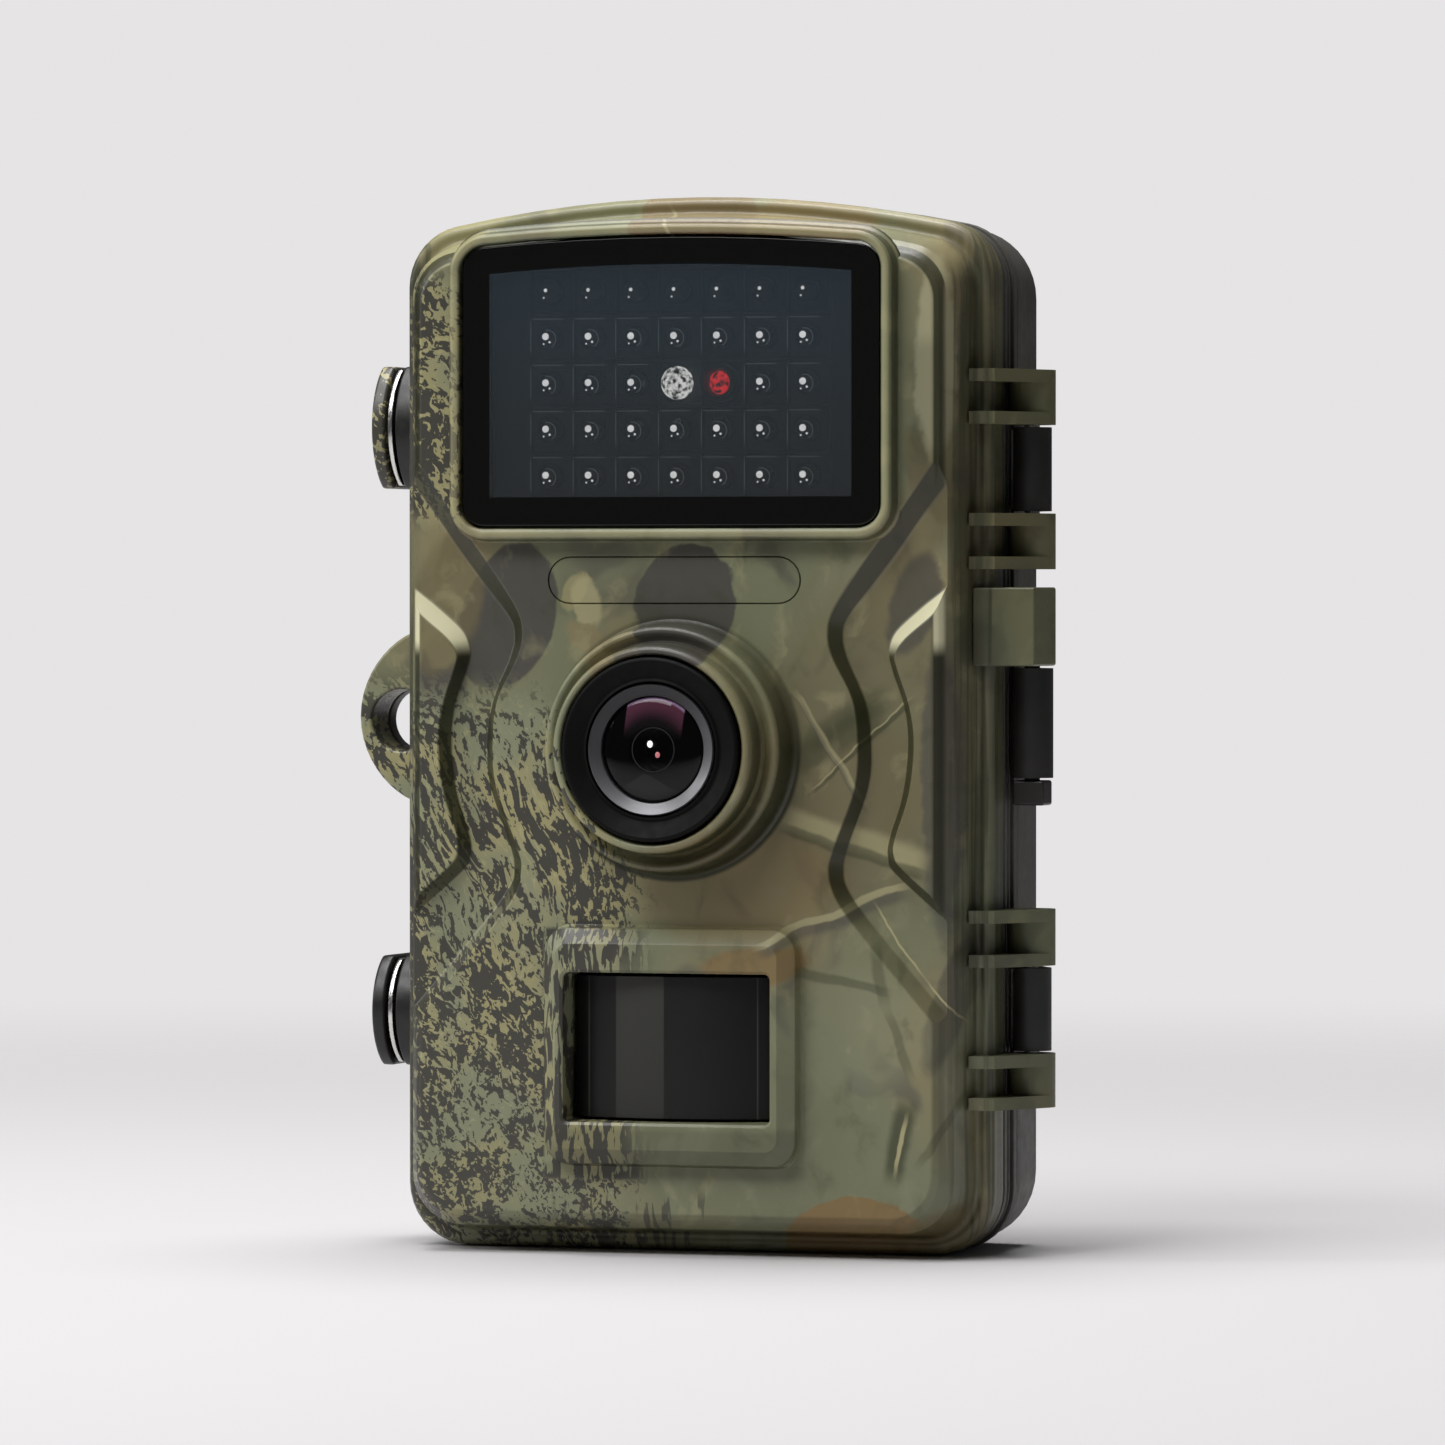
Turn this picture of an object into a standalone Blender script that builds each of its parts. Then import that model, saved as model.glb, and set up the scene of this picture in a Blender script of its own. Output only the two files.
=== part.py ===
"""A compact trail camera: a rear half that straps to a tree, and a front half that swings open on it.

The script's own unit is the millimetre. X runs across, from the latches to the hinge, Y runs back from
the front plane of the flange, and Z runs up from the base. FRAME turns that into metres about the
base's centre.
"""

from math import asin, cos, degrees, pi, radians, sin, sqrt

import bmesh
import bpy
from mathutils import Matrix, Vector

# Whole camera
HEIGHT = 135.0
ARCH_DROP = 3.2
FLANGE_HALF = 39.4
FLANGE_DEPTH = 9.8
PARTING = 10.1
GAP = 0.3
WALL = 2.0
BACK = 27.0
CENTRE_X = 0.75
CENTRE_Y = -8.75
FRAME = Matrix.Scale(0.001, 4) @ Matrix.Translation((CENTRE_X, CENTRE_Y, 0.0))

# Front face
PANEL = -9.5
PANEL_HALF = 34.6
WINDOW_Z = (92.8, 129.5)
WINDOW_HALF = 27.75
BEZEL_FRONT = -12.0
LED_COLUMNS = 7
LED_ROWS = 5
LED_PITCH = (5.72, 5.9)
LED_CENTRE_Z = 111.0
CARRIER_FRONT = -6.6
LED_TIP = -9.3
LENS_Z = 64.0
LENS_FRONT = -19.8
PIR_Z = 25.5
PIR_HALF = (13.6, 9.35)

# Hinge side
HINGE_X = 42.4
HINGE_Y = 8.0
KNUCKLE = 3.0
BARREL = 2.5
PIN = 1.0
PIN_BORE = 1.3
BRACKETS = {"upper": ((105.7, 112.7), (87.3, 94.4)), "lower": ((36.8, 44.0), (18.7, 25.6))}
RIB = 1.6
BLOCK_Z = (75.0, 85.0)
LOCK_RADIUS = 2.7
LOCK_Z = (60.7, 74.7)
LOCK_HEAD = (57.2, 60.4)
LOCK_TOP = 78.0

# Latch side
LATCH_Z = {"upper": (97.9, 113.8), "lower": (22.7, 37.0)}
LATCH_X = (-45.7, -43.9)
BAIL_X = (-43.55, -42.95)
CATCH_X = (-42.6, -39.7)
LATCH_NOSE = 4.0
LATCH_BULGE = 4.3
LATCH_PIVOT = (-43.4, 20.5)
BAIL_PIVOT = (-43.25, 16.3)
EAR_Z = (57.0, 79.5)
EAR_X = -46.9
EAR_HOLE = (-41.3, 67.8, 4.0)

# Inside
CELL_RADIUS = 7.25
CELL_LENGTH = 50.5
CELL_PITCH = 14.9
CELL_BASE = 75.2
CELL_Y = 14.75
TRAY_Z = (71.5, 128.0)
TRAY_Y = (12.0, 25.1)
TRAY_WALL = 1.2
COVER_PLATE = (5.2, 6.8)
KEY_RADIUS = 2.9
KEY_CENTRE = (-12.0, 36.0)
KEY_STEP = 9.0
SWITCH_AT = (10.0, 24.0)
SWITCH_FRONT = 8.4
CARD_AT = (25.0, 48.0)
CARD_BACK = 8.2
USB_AT = (25.0, 30.0)
SCREW_AT = ((-32.4, 9.0), (32.4, 9.0), (-32.4, 125.6), (32.4, 125.6))

# Back and base
PAD_BACK = 28.2
BRACKET_Z = (36.0, 98.0)
BRACKET_PLATE = (28.5, 30.3)
BAR_Y = (34.9, 37.3)
BAR_X = (14.0, 20.0)
BAR_Z = (44.0, 90.0)
POST = 6.0
TRIPOD_AT = (10.0, 17.6)
SOCKET_AT = (-20.0, 16.6)
PORT_X = (-27.0, -13.0)
PORT_Y = (12.4, 20.8)
PORT_Z = (0.3, 1.5)

FINISHES = {
    "camouflage plastic": ((0.17, 0.17, 0.10), 0.42, 0.0),
    "charcoal plastic": ((0.040, 0.039, 0.036), 0.55, 0.0),
    "black gloss plastic": ((0.010, 0.010, 0.010), 0.22, 0.0),
    "black satin plastic": ((0.018, 0.018, 0.018), 0.45, 0.0),
    "grey metal": ((0.25, 0.25, 0.26), 0.32, 1.0),
    "steel": ((0.60, 0.60, 0.59), 0.30, 1.0),
    "brass": ((0.66, 0.48, 0.22), 0.30, 1.0),
    "dark glass": ((0.012, 0.012, 0.014), 0.05, 0.0),
    "clear lens": ((0.30, 0.32, 0.35), 0.08, 0.0),
    "red lens": ((0.75, 0.03, 0.03), 0.15, 0.0),
    "white lens": ((0.82, 0.82, 0.80), 0.30, 0.0),
    "circuit board": ((0.02, 0.09, 0.05), 0.45, 0.0),
    "black rubber": ((0.015, 0.015, 0.015), 0.75, 0.0),
    "cell wrap": ((0.06, 0.07, 0.09), 0.30, 0.0),
    "orange film": ((0.45, 0.17, 0.03), 0.35, 0.0),
}

axes = {}
cutters = []


def clear_scene():
    for item in list(bpy.data.objects):
        bpy.data.objects.remove(item, do_unlink=True)


def make_finish(name):
    colour, roughness, metallic = FINISHES[name]
    finish = bpy.data.materials.new(name)
    finish.use_nodes = True
    shader = finish.node_tree.nodes["Principled BSDF"]
    shader.inputs["Base Color"].default_value = (*colour, 1.0)
    shader.inputs["Roughness"].default_value = roughness
    shader.inputs["Metallic"].default_value = metallic
    return finish


def make_object(name, shape):
    """Turns a shape in millimetres into an object in metres, in the camera's frame."""
    bmesh.ops.transform(shape, matrix=FRAME, verts=shape.verts)
    bmesh.ops.recalc_face_normals(shape, faces=shape.faces)
    mesh = bpy.data.meshes.new(name)
    shape.to_mesh(mesh)
    shape.free()
    mesh.shade_smooth()
    mesh.set_sharp_from_angle(angle=radians(30))
    item = bpy.data.objects.new(name, mesh)
    bpy.context.scene.collection.objects.link(item)
    return item


def piece(name, shape, finish, joint=None):
    """One sub-part. With a joint, it hangs from the empty that stands on that joint's axis."""
    item = make_object(name, shape)
    item.data.materials.append(bpy.data.materials.get(finish) or make_finish(finish))
    if joint:
        item.parent = axes[joint]
        item.matrix_parent_inverse = axes[joint].matrix_world.inverted()
    return item


def combine(item, shape, operation):
    tool = make_object(f"tool_{len(cutters) + 1}", shape)
    tool.hide_render = True
    tool.display_type = "WIRE"
    cutters.append(tool)
    modifier = item.modifiers.new(operation.title(), "BOOLEAN")
    modifier.operation = operation
    modifier.solver = "EXACT"
    modifier.object = tool


def cut(item, shape):
    combine(item, shape, "DIFFERENCE")


def join(item, shape):
    combine(item, shape, "UNION")


def joint_axis(name, x, y, z, parent=None):
    """An empty on a joint's axis, which its moving pieces are parented to."""
    empty = bpy.data.objects.new(name, None)
    empty.empty_display_size = 0.01
    bpy.context.scene.collection.objects.link(empty)
    place = FRAME @ Vector((x, y, z))
    if parent:
        empty.parent = axes[parent]
        place = place - axes[parent].matrix_world.translation
    empty.location = place
    bpy.context.view_layer.update()
    axes[name] = empty


# Outlines, as lists of points in one plane


def arc(centre, radius, start, end, steps):
    angles = [radians(start + (end - start) * step / steps) for step in range(steps + 1)]
    return [(centre[0] + radius * cos(a), centre[1] + radius * sin(a)) for a in angles]


def circle(centre, radius, steps=16):
    return arc(centre, radius, 0, 360, steps)[:-1]


def rounded_box(left, right, low, high, radius, steps=3):
    outline = arc((right - radius, low + radius), radius, -90, 0, steps)
    outline += arc((right - radius, high - radius), radius, 0, 90, steps)
    outline += arc((left + radius, high - radius), radius, 90, 180, steps)
    outline += arc((left + radius, low + radius), radius, 180, 270, steps)
    return outline


def camera_outline(half, inset, radius, steps=4):
    """The camera seen from the front: straight sides and base, round corners and an arched top."""
    low = inset
    high = HEIGHT - inset
    shoulder = high - ARCH_DROP
    lean = arch_lean(half, radius)
    right = arc((half - radius, low + radius), radius, -90, 0, steps)
    right += arc((half - radius, shoulder - radius), radius, 0, 90 - lean, steps)
    start_x, start_z = right[-1]
    for share in (2 / 3, 1 / 3):
        right.append((start_x * share, high - (high - start_z) * share**2))
    left = [(-x, z) for x, z in reversed(right)]
    return right + [(0.0, high)] + left


def arch_lean(half, radius):
    """The arch's slope where it meets the corner, in degrees."""
    return degrees(2 * ARCH_DROP / (half - radius))


# Solids, as bmeshes in millimetres


def loft(sections, axis="y"):
    """Joins outlines of equal length, one at each place along the axis, and caps the ends."""
    shape = bmesh.new()
    rings = []
    for place, outline in sections:
        ring = []
        for first, second in outline:
            point = {
                "x": (place, first, second),
                "y": (first, place, second),
                "z": (first, second, place),
            }[axis]
            ring.append(shape.verts.new(point))
        rings.append(ring)
    for lower, upper in zip(rings, rings[1:]):
        for i in range(len(lower)):
            k = (i + 1) % len(lower)
            shape.faces.new((lower[i], lower[k], upper[k], upper[i]))
    shape.faces.new(rings[0])
    shape.faces.new(rings[-1])
    return shape


def prism(outline, start, end, axis="y"):
    return loft([(start, outline), (end, outline)], axis)


def box(x, y, z):
    return prism([(x[0], z[0]), (x[1], z[0]), (x[1], z[1]), (x[0], z[1])], y[0], y[1])


def frame_ring(outer, inner, start, end):
    """A closed frame between two outlines of equal length."""
    shape = bmesh.new()
    rings = []
    for outline, place in ((outer, start), (outer, end), (inner, end), (inner, start)):
        rings.append([shape.verts.new((x, place, z)) for x, z in outline])
    for a, b in zip(rings, rings[1:] + rings[:1]):
        for i in range(len(a)):
            k = (i + 1) % len(a)
            shape.faces.new((a[i], a[k], b[k], b[i]))
    return shape


def turned(profile, centre, axis="y", steps=16, ring=False):
    """Turns (radius, place) points about an axis. A ring joins its last point to its first."""
    shape = bmesh.new()
    loops = []
    for radius, place in profile:
        loop = []
        for first, second in circle(centre, radius, steps):
            point = {
                "x": (place, first, second),
                "y": (first, place, second),
                "z": (first, second, place),
            }[axis]
            loop.append(shape.verts.new(point))
        loops.append(loop)
    pairs = list(zip(loops, loops[1:]))
    if ring:
        pairs.append((loops[-1], loops[0]))
    else:
        shape.faces.new(loops[0])
        shape.faces.new(loops[-1])
    for a, b in pairs:
        for i in range(steps):
            k = (i + 1) % steps
            shape.faces.new((a[i], a[k], b[k], b[i]))
    return shape


def rod(centre, radius, start, end, axis="y", steps=16):
    return turned([(radius, start), (radius, end)], centre, axis, steps)


def tube(centre, outer, inner, start, end, axis="y", steps=16):
    profile = [(outer, start), (outer, end), (inner, end), (inner, start)]
    return turned(profile, centre, axis, steps, ring=True)


# Pieces


def padlock_ear(y_start, y_end):
    """The bell-shaped ear on the latch side, before its hole."""
    middle = EAR_HOLE[1]
    half = (EAR_Z[1] - EAR_Z[0]) / 2
    reach = -EAR_X - FLANGE_HALF + 1.0
    outline = []
    for step in range(13):
        turn = pi * step / 12
        swell = sin(turn) ** 1.3
        outline.append((-FLANGE_HALF + 1.0 - reach * swell, middle + half * cos(turn)))
    ear = prism(outline, y_start, y_end)
    return ear


def add_ear(shell, y_start, y_end):
    """The hole stops at the shell's side wall, which leaves it D-shaped."""
    join(shell, padlock_ear(y_start, y_end))
    x, z, radius = EAR_HOLE
    half_turn = arc((x, z), radius, 62, 298, 12)
    cut(shell, prism(half_turn, y_start - 1.0, y_end + 1.0))


def hinge_bracket(low, high):
    """A knuckle on the hinge axis with two ribs that tie it to the front shell."""
    shapes = [rod((HINGE_X, HINGE_Y), KNUCKLE, low, high, "z", 20)]
    ribs = [
        (37.0, -2.6),
        (40.2, -2.6),
        (HINGE_X + 2.7, HINGE_Y - 1.0),
        (HINGE_X, HINGE_Y + 1.0),
        (38.4, HINGE_Y),
    ]
    shapes.append(prism(ribs, low, low + RIB, "z"))
    shapes.append(prism(ribs, high - RIB, high, "z"))
    return shapes


def front_shell():
    sections = [
        (PANEL, camera_outline(PANEL_HALF, 4.5, 6.0)),
        (-7.6, camera_outline(PANEL_HALF + 0.9, 3.6, 6.5)),
        (-1.2, camera_outline(36.9, 2.6, 7.0)),
        (0.0, camera_outline(38.5, 0.9, 7.6)),
        (0.9, camera_outline(FLANGE_HALF, 0.0, 8.0)),
        (FLANGE_DEPTH, camera_outline(FLANGE_HALF, 0.0, 8.0)),
    ]
    shell = piece("front_shell", loft(sections), "camouflage plastic", "cover_hinge")
    bezel = rounded_box(-29.5, 29.5, 90.9, 130.3, 4.5)
    join(shell, prism(bezel, BEZEL_FRONT, PANEL + 0.4))
    lens_boss = [(16.4, PANEL + 0.4), (15.4, -13.5), (13.4, -14.2), (13.2, -18.0)]
    join(shell, turned(lens_boss, (0.0, LENS_Z), steps=32))
    wide = rounded_box(-16.8, 16.8, 10.3, 40.9, 3.0)
    narrow = rounded_box(-15.4, 15.4, 12.3, 38.9, 2.4)
    join(shell, loft([(PANEL + 0.4, wide), (-11.6, wide), (-13.2, narrow)]))
    cavity = [
        (-7.5, camera_outline(PANEL_HALF - WALL, 6.5, 4.5)),
        (-1.0, camera_outline(36.9 - WALL, 4.6, 5.0)),
        (1.4, camera_outline(FLANGE_HALF - WALL, WALL, 6.0)),
        (FLANGE_DEPTH + 1.0, camera_outline(FLANGE_HALF - WALL, WALL, 6.0)),
    ]
    cut(shell, loft(cavity))
    for low, high in BRACKETS["upper"] + BRACKETS["lower"]:
        for shape in hinge_bracket(low, high):
            join(shell, shape)
    lock_block = [(37.0, -1.0), (45.2, -1.0)]
    lock_block += arc((HINGE_X, HINGE_Y), KNUCKLE, 0, 145, 8)
    lock_block += [(38.4, HINGE_Y + 1.2), (38.4, 0.9)]
    join(shell, prism(lock_block, BLOCK_Z[0], BLOCK_Z[1], "z"))
    for spans in BRACKETS.values():
        cut(shell, rod((HINGE_X, HINGE_Y), PIN_BORE, spans[1][0] - 1, spans[0][1] + 1, "z", 12))
    cut(shell, rod((HINGE_X, HINGE_Y), PIN_BORE, BLOCK_Z[0] - 1, LOCK_TOP + 0.6, "z", 12))
    add_ear(shell, 3.0, FLANGE_DEPTH)
    glass_seat = rounded_box(-28.05, 28.05, WINDOW_Z[0] - GAP, WINDOW_Z[1] + GAP, 3.0)
    cut(shell, prism(glass_seat, BEZEL_FRONT - 1.0, -9.9))
    flash_opening = rounded_box(-25.0, 25.0, 95.4, 127.0, 1.0)
    cut(shell, prism(flash_opening, BEZEL_FRONT - 1.0, -6.0))
    cut(shell, rod((0.0, LENS_Z), 12.0, -19.0, -11.6, steps=32))
    cut(shell, rod((0.0, LENS_Z), 9.0, -19.0, -6.0, steps=24))
    opening = rounded_box(-PIR_HALF[0], PIR_HALF[0], PIR_Z - PIR_HALF[1], PIR_Z + PIR_HALF[1], 0.8)
    cut(shell, prism(opening, -14.0, -6.0))
    for x, z in SCREW_AT:
        join(shell, rod((x, z), 2.2, -6.0, COVER_PLATE[0] - GAP, steps=12))
        cut(shell, rod((x, z), 1.25, -1.0, COVER_PLATE[0] + 1.0, steps=12))
    return shell


def flash_unit():
    """The window, and behind it the board, the row-and-column LED carrier and two separate lamps."""
    glass = rounded_box(-WINDOW_HALF, WINDOW_HALF, WINDOW_Z[0], WINDOW_Z[1], 2.8)
    piece("window_glass", prism(glass, -11.4, -10.2), "dark glass", "cover_hinge")
    piece("flash_board", box((-24.0, 24.0), (-5.1, -4.1), (96.0, 126.4)), "circuit board", "cover_hinge")
    carrier = bmesh.new()
    size = (LED_COLUMNS * LED_PITCH[0], LED_ROWS * LED_PITCH[1])
    bmesh.ops.create_grid(carrier, x_segments=LED_COLUMNS, y_segments=LED_ROWS, size=0.5)
    matrix = Matrix.Translation((0.0, CARRIER_FRONT, LED_CENTRE_Z)) @ Matrix.Rotation(pi / 2, 4, "X")
    stretch = Matrix.Diagonal((size[0], size[1], 1.0, 1.0))
    bmesh.ops.transform(carrier, matrix=matrix @ stretch, verts=carrier.verts)
    cells = list(carrier.faces)
    grown = bmesh.ops.extrude_face_region(carrier, geom=cells, use_keep_orig=True)
    moved = [v for v in grown["geom"] if isinstance(v, bmesh.types.BMVert)]
    bmesh.ops.translate(carrier, verts=moved, vec=(0.0, 1.2, 0.0))
    for cell in cells:
        centre = cell.calc_center_median()
        sensor = abs(centre.z - LED_CENTRE_Z) < 1 and -1 < centre.x < LED_PITCH[0] + 1
        if sensor:
            continue
        bmesh.ops.inset_individual(carrier, faces=[cell], thickness=1.1)
        for depth, narrow in ((1.5, 0.0), (LED_TIP - CARRIER_FRONT + 1.5, 0.9)):
            bulb = bmesh.ops.extrude_discrete_faces(carrier, faces=[cell])["faces"]
            cell = bulb[0]
            bmesh.ops.translate(carrier, verts=cell.verts, vec=(0.0, -abs(depth), 0.0))
            middle = cell.calc_center_median()
            for vert in cell.verts:
                vert.co.x += (middle.x - vert.co.x) * narrow / 1.8
                vert.co.z += (middle.z - vert.co.z) * narrow / 1.8
    piece("flash_leds", carrier, "clear lens", "cover_hinge")
    lamps = (("light_sensor", 0.0, 2.1, "white lens"), ("status_led", LED_PITCH[0], 1.9, "red lens"))
    for name, x, radius, finish in lamps:
        profile = [(radius, CARRIER_FRONT - GAP), (radius, -8.6), (radius * 0.6, LED_TIP)]
        piece(name, turned(profile, (x, LED_CENTRE_Z), steps=14), finish, "cover_hinge")


def lens_unit():
    middle = (0.0, LENS_Z)
    ring = [(11.7, -11.9), (11.7, -19.2), (11.1, LENS_FRONT), (8.9, LENS_FRONT), (8.5, -19.2), (8.5, -11.9)]
    piece("lens_ring", turned(ring, middle, steps=32, ring=True), "black satin plastic", "cover_hinge")
    bezel = [(8.2, -12.0), (8.2, -18.6), (7.9, -18.9), (6.9, -17.6), (6.9, -12.0)]
    piece("lens_bezel", turned(bezel, middle, steps=28, ring=True), "grey metal", "cover_hinge")
    glass = [(6.6, -14.4), (6.6, -17.0), (5.0, -17.9), (2.6, -18.4)]
    piece("lens_glass", turned(glass, middle, steps=24), "dark glass", "cover_hinge")
    barrel = [
        (6.4, -14.1),
        (6.4, -7.0),
        (7.4, -7.0),
        (7.4, 0.0),
        (5.0, 0.0),
        (5.0, -11.0),
        (3.0, -11.4),
        (3.0, -14.1),
    ]
    piece("lens_barrel", turned(barrel, middle, steps=20, ring=True), "black satin plastic", "cover_hinge")
    board = box((-12.0, 12.0), (0.3, 1.4), (LENS_Z - 12.0, LENS_Z + 12.0))
    piece("sensor_board", board, "circuit board", "cover_hinge")


def pir_unit():
    """A bowed grey window over the heat sensor."""
    half = PIR_HALF[0] - GAP
    radius = 40.0
    sag = radius - sqrt(radius**2 - half**2)
    swing = 90 * half / radius * 2 / pi
    front = arc((0.0, -10.4 + radius - sag), radius, 270 - swing, 270 + swing, 8)
    back = [(x, y + 1.4) for x, y in reversed(front)]
    low = PIR_Z - PIR_HALF[1] + GAP
    high = PIR_Z + PIR_HALF[1] - GAP
    piece("pir_lens", prism(front + back, low, high, "z"), "charcoal plastic", "cover_hinge")
    can = [(5.4, 2.2), (5.4, 1.4), (4.5, 1.4), (4.5, -2.6), (3.9, -3.2)]
    piece("pir_sensor", turned(can, (0.0, PIR_Z), steps=16), "steel", "cover_hinge")


def inner_side():
    """What the front half shows when it is open, and the boards behind it."""
    board = box((-33.0, 17.0), (2.5, 3.7), (12.0, 86.0))
    piece("main_board", board, "circuit board", "cover_hinge")
    outline = camera_outline(FLANGE_HALF - WALL - GAP, WALL + GAP, 5.7)
    sheet = prism(outline, COVER_PLATE[0], COVER_PLATE[1])
    plate = piece("inner_cover", sheet, "black satin plastic", "cover_hinge")
    through = (COVER_PLATE[0] - 1.0, COVER_PLATE[1] + 1.0)
    cut(plate, box((-21.0, 21.0), through, (90.0, 122.0)))
    display = box((-25.0, 25.0), (1.6, COVER_PLATE[0] - GAP), (88.0, 126.0))
    screen = piece("display", display, "dark glass", "cover_hinge")
    join(screen, box((-20.6, 20.6), (4.0, COVER_PLATE[1] - 0.2), (90.4, 121.6)))
    card = box((CARD_AT[0] - 6.4, CARD_AT[0] + 6.4), through, (CARD_AT[1] - 1.2, CARD_AT[1] + 1.2))
    cut(plate, card)
    cut(plate, box((USB_AT[0] - 4.2, USB_AT[0] + 4.2), through, (USB_AT[1] - 2.4, USB_AT[1] + 2.4)))
    slot = box((SWITCH_AT[0] - 5.6, SWITCH_AT[0] + 5.6), through, (SWITCH_AT[1] - 1.9, SWITCH_AT[1] + 1.9))
    cut(plate, slot)
    socket = box((CARD_AT[0] - 7.0, CARD_AT[0] + 7.0), (-6.2, 4.8), (CARD_AT[1] - 1.6, CARD_AT[1] + 1.6))
    holder = piece("card_socket", socket, "steel", "cover_hinge")
    mouth = box((CARD_AT[0] - 5.8, CARD_AT[0] + 5.8), (-5.6, 6.0), (CARD_AT[1] - 0.8, CARD_AT[1] + 0.8))
    cut(holder, mouth)
    card = box((CARD_AT[0] - 5.5, CARD_AT[0] + 5.5), (-5.2, CARD_BACK), (CARD_AT[1] - 0.5, CARD_AT[1] + 0.5))
    piece("memory_card", card, "black satin plastic", "card_slide")
    usb = box((USB_AT[0] - 3.9, USB_AT[0] + 3.9), (-3.0, 6.5), (USB_AT[1] - 2.1, USB_AT[1] + 2.1))
    port = piece("usb_socket", usb, "steel", "cover_hinge")
    cut(port, box((USB_AT[0] - 3.4, USB_AT[0] + 3.4), (-1.0, 8.0), (USB_AT[1] - 1.6, USB_AT[1] + 1.6)))
    slider = box(
        (SWITCH_AT[0] - 2.2, SWITCH_AT[0] + 2.2),
        (4.2, SWITCH_FRONT),
        (SWITCH_AT[1] - 1.5, SWITCH_AT[1] + 1.5),
    )
    piece("mode_switch", slider, "black gloss plastic", "switch_slide")
    for name, (across, up) in KEYS.items():
        at = (KEY_CENTRE[0] + across * KEY_STEP, KEY_CENTRE[1] + up * KEY_STEP)
        cut(plate, rod(at, KEY_RADIUS + GAP, through[0], through[1], steps=14))
        cap = [(KEY_RADIUS, 4.6), (KEY_RADIUS, 7.6), (KEY_RADIUS - 0.5, 8.0)]
        piece(f"key_{name}", turned(cap, at, steps=14), "black rubber", f"key_{name}_press")
    for number, (x, z) in enumerate(SCREW_AT, 1):
        at = (x, z)
        cut(plate, rod(at, 1.35, through[0], through[1], steps=12))
        seat = COVER_PLATE[1] + GAP
        profile = [(1.0, 0.0), (1.0, seat), (2.1, seat), (2.1, 7.9), (1.5, 8.3)]
        piece(f"inner_screw_{number}", turned(profile, at, steps=12), "steel", "cover_hinge")


def rear_shell():
    sections = [
        (PARTING, camera_outline(FLANGE_HALF, 0.0, 8.0)),
        (11.3, camera_outline(FLANGE_HALF, 0.0, 8.0)),
        (11.8, camera_outline(38.2, 0.0, 9.0)),
        (BACK - 1.4, camera_outline(38.0, 0.0, 9.4)),
        (BACK, camera_outline(36.6, 1.4, 8.4)),
    ]
    shell = piece("rear_shell", loft(sections), "charcoal plastic")
    join(shell, prism(rounded_box(-23.0, 23.0, 34.0, 100.0, 3.0), BACK - 0.5, PAD_BACK))
    cavity = camera_outline(36.2, 3.0, 7.0)
    cut(shell, prism(cavity, PARTING - 1.0, BACK - 1.6))
    outer, inner = camera_outline(38.5, 0.9, 7.4), camera_outline(37.1, 2.3, 6.6)
    cut(shell, frame_ring(outer, inner, PARTING - 1.0, 11.5))
    ring = frame_ring(camera_outline(38.2, 1.2, 7.1), camera_outline(37.4, 2.0, 6.8), 10.15, 11.2)
    piece("gasket", ring, "black rubber")
    add_ear(shell, PARTING, 13.0)
    cut(shell, rod(TRIPOD_AT, 4.8, -1.0, 4.0, "z", 20))
    recess = box(
        (PORT_X[0] - GAP, PORT_X[1] + GAP),
        (PORT_Y[0] - GAP, PORT_Y[1] + 1.0),
        (-1.0, PORT_Z[1] + GAP),
    )
    cut(shell, recess)
    cut(shell, rod(SOCKET_AT, 3.0, 0.5, 4.0, "z", 16))
    for z in bracket_screws():
        cut(shell, rod((0.0, z), 1.25, BACK - 2.0, PAD_BACK + 1.0, steps=12))
    return shell


def bracket_screws():
    return (BRACKET_Z[0] + 5.0, BRACKET_Z[1] - 5.0)


def battery_box():
    half = 2 * CELL_PITCH + 1.6
    outer = rounded_box(-half, half, TRAY_Z[0], TRAY_Z[1], 1.5, 2)
    tray = piece("battery_tray", prism(outer, TRAY_Y[0], TRAY_Y[1]), "black satin plastic")
    hollow = half - TRAY_WALL
    inner = rounded_box(-hollow, hollow, TRAY_Z[0] + TRAY_WALL, TRAY_Z[1] - TRAY_WALL, 1.0, 2)
    cut(tray, prism(inner, TRAY_Y[0] - 1.0, 22.3))
    for number in range(4):
        x = (number - 1.5) * CELL_PITCH
        top = CELL_BASE + CELL_LENGTH
        profile = [(CELL_RADIUS, CELL_BASE), (CELL_RADIUS, top - 1.4), (2.7, top - 1.2), (2.7, top)]
        piece(f"battery_cell_{number + 1}", turned(profile, (x, CELL_Y), "z", 18), "cell wrap")
    strip = [(-half + 1.6, 73.2), (half - 1.6, 73.2), (half - 1.6, 74.8), (-half + 1.6, 74.8)]
    piece("battery_contact", prism(strip, 13.0, 21.0), "steel")


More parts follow.
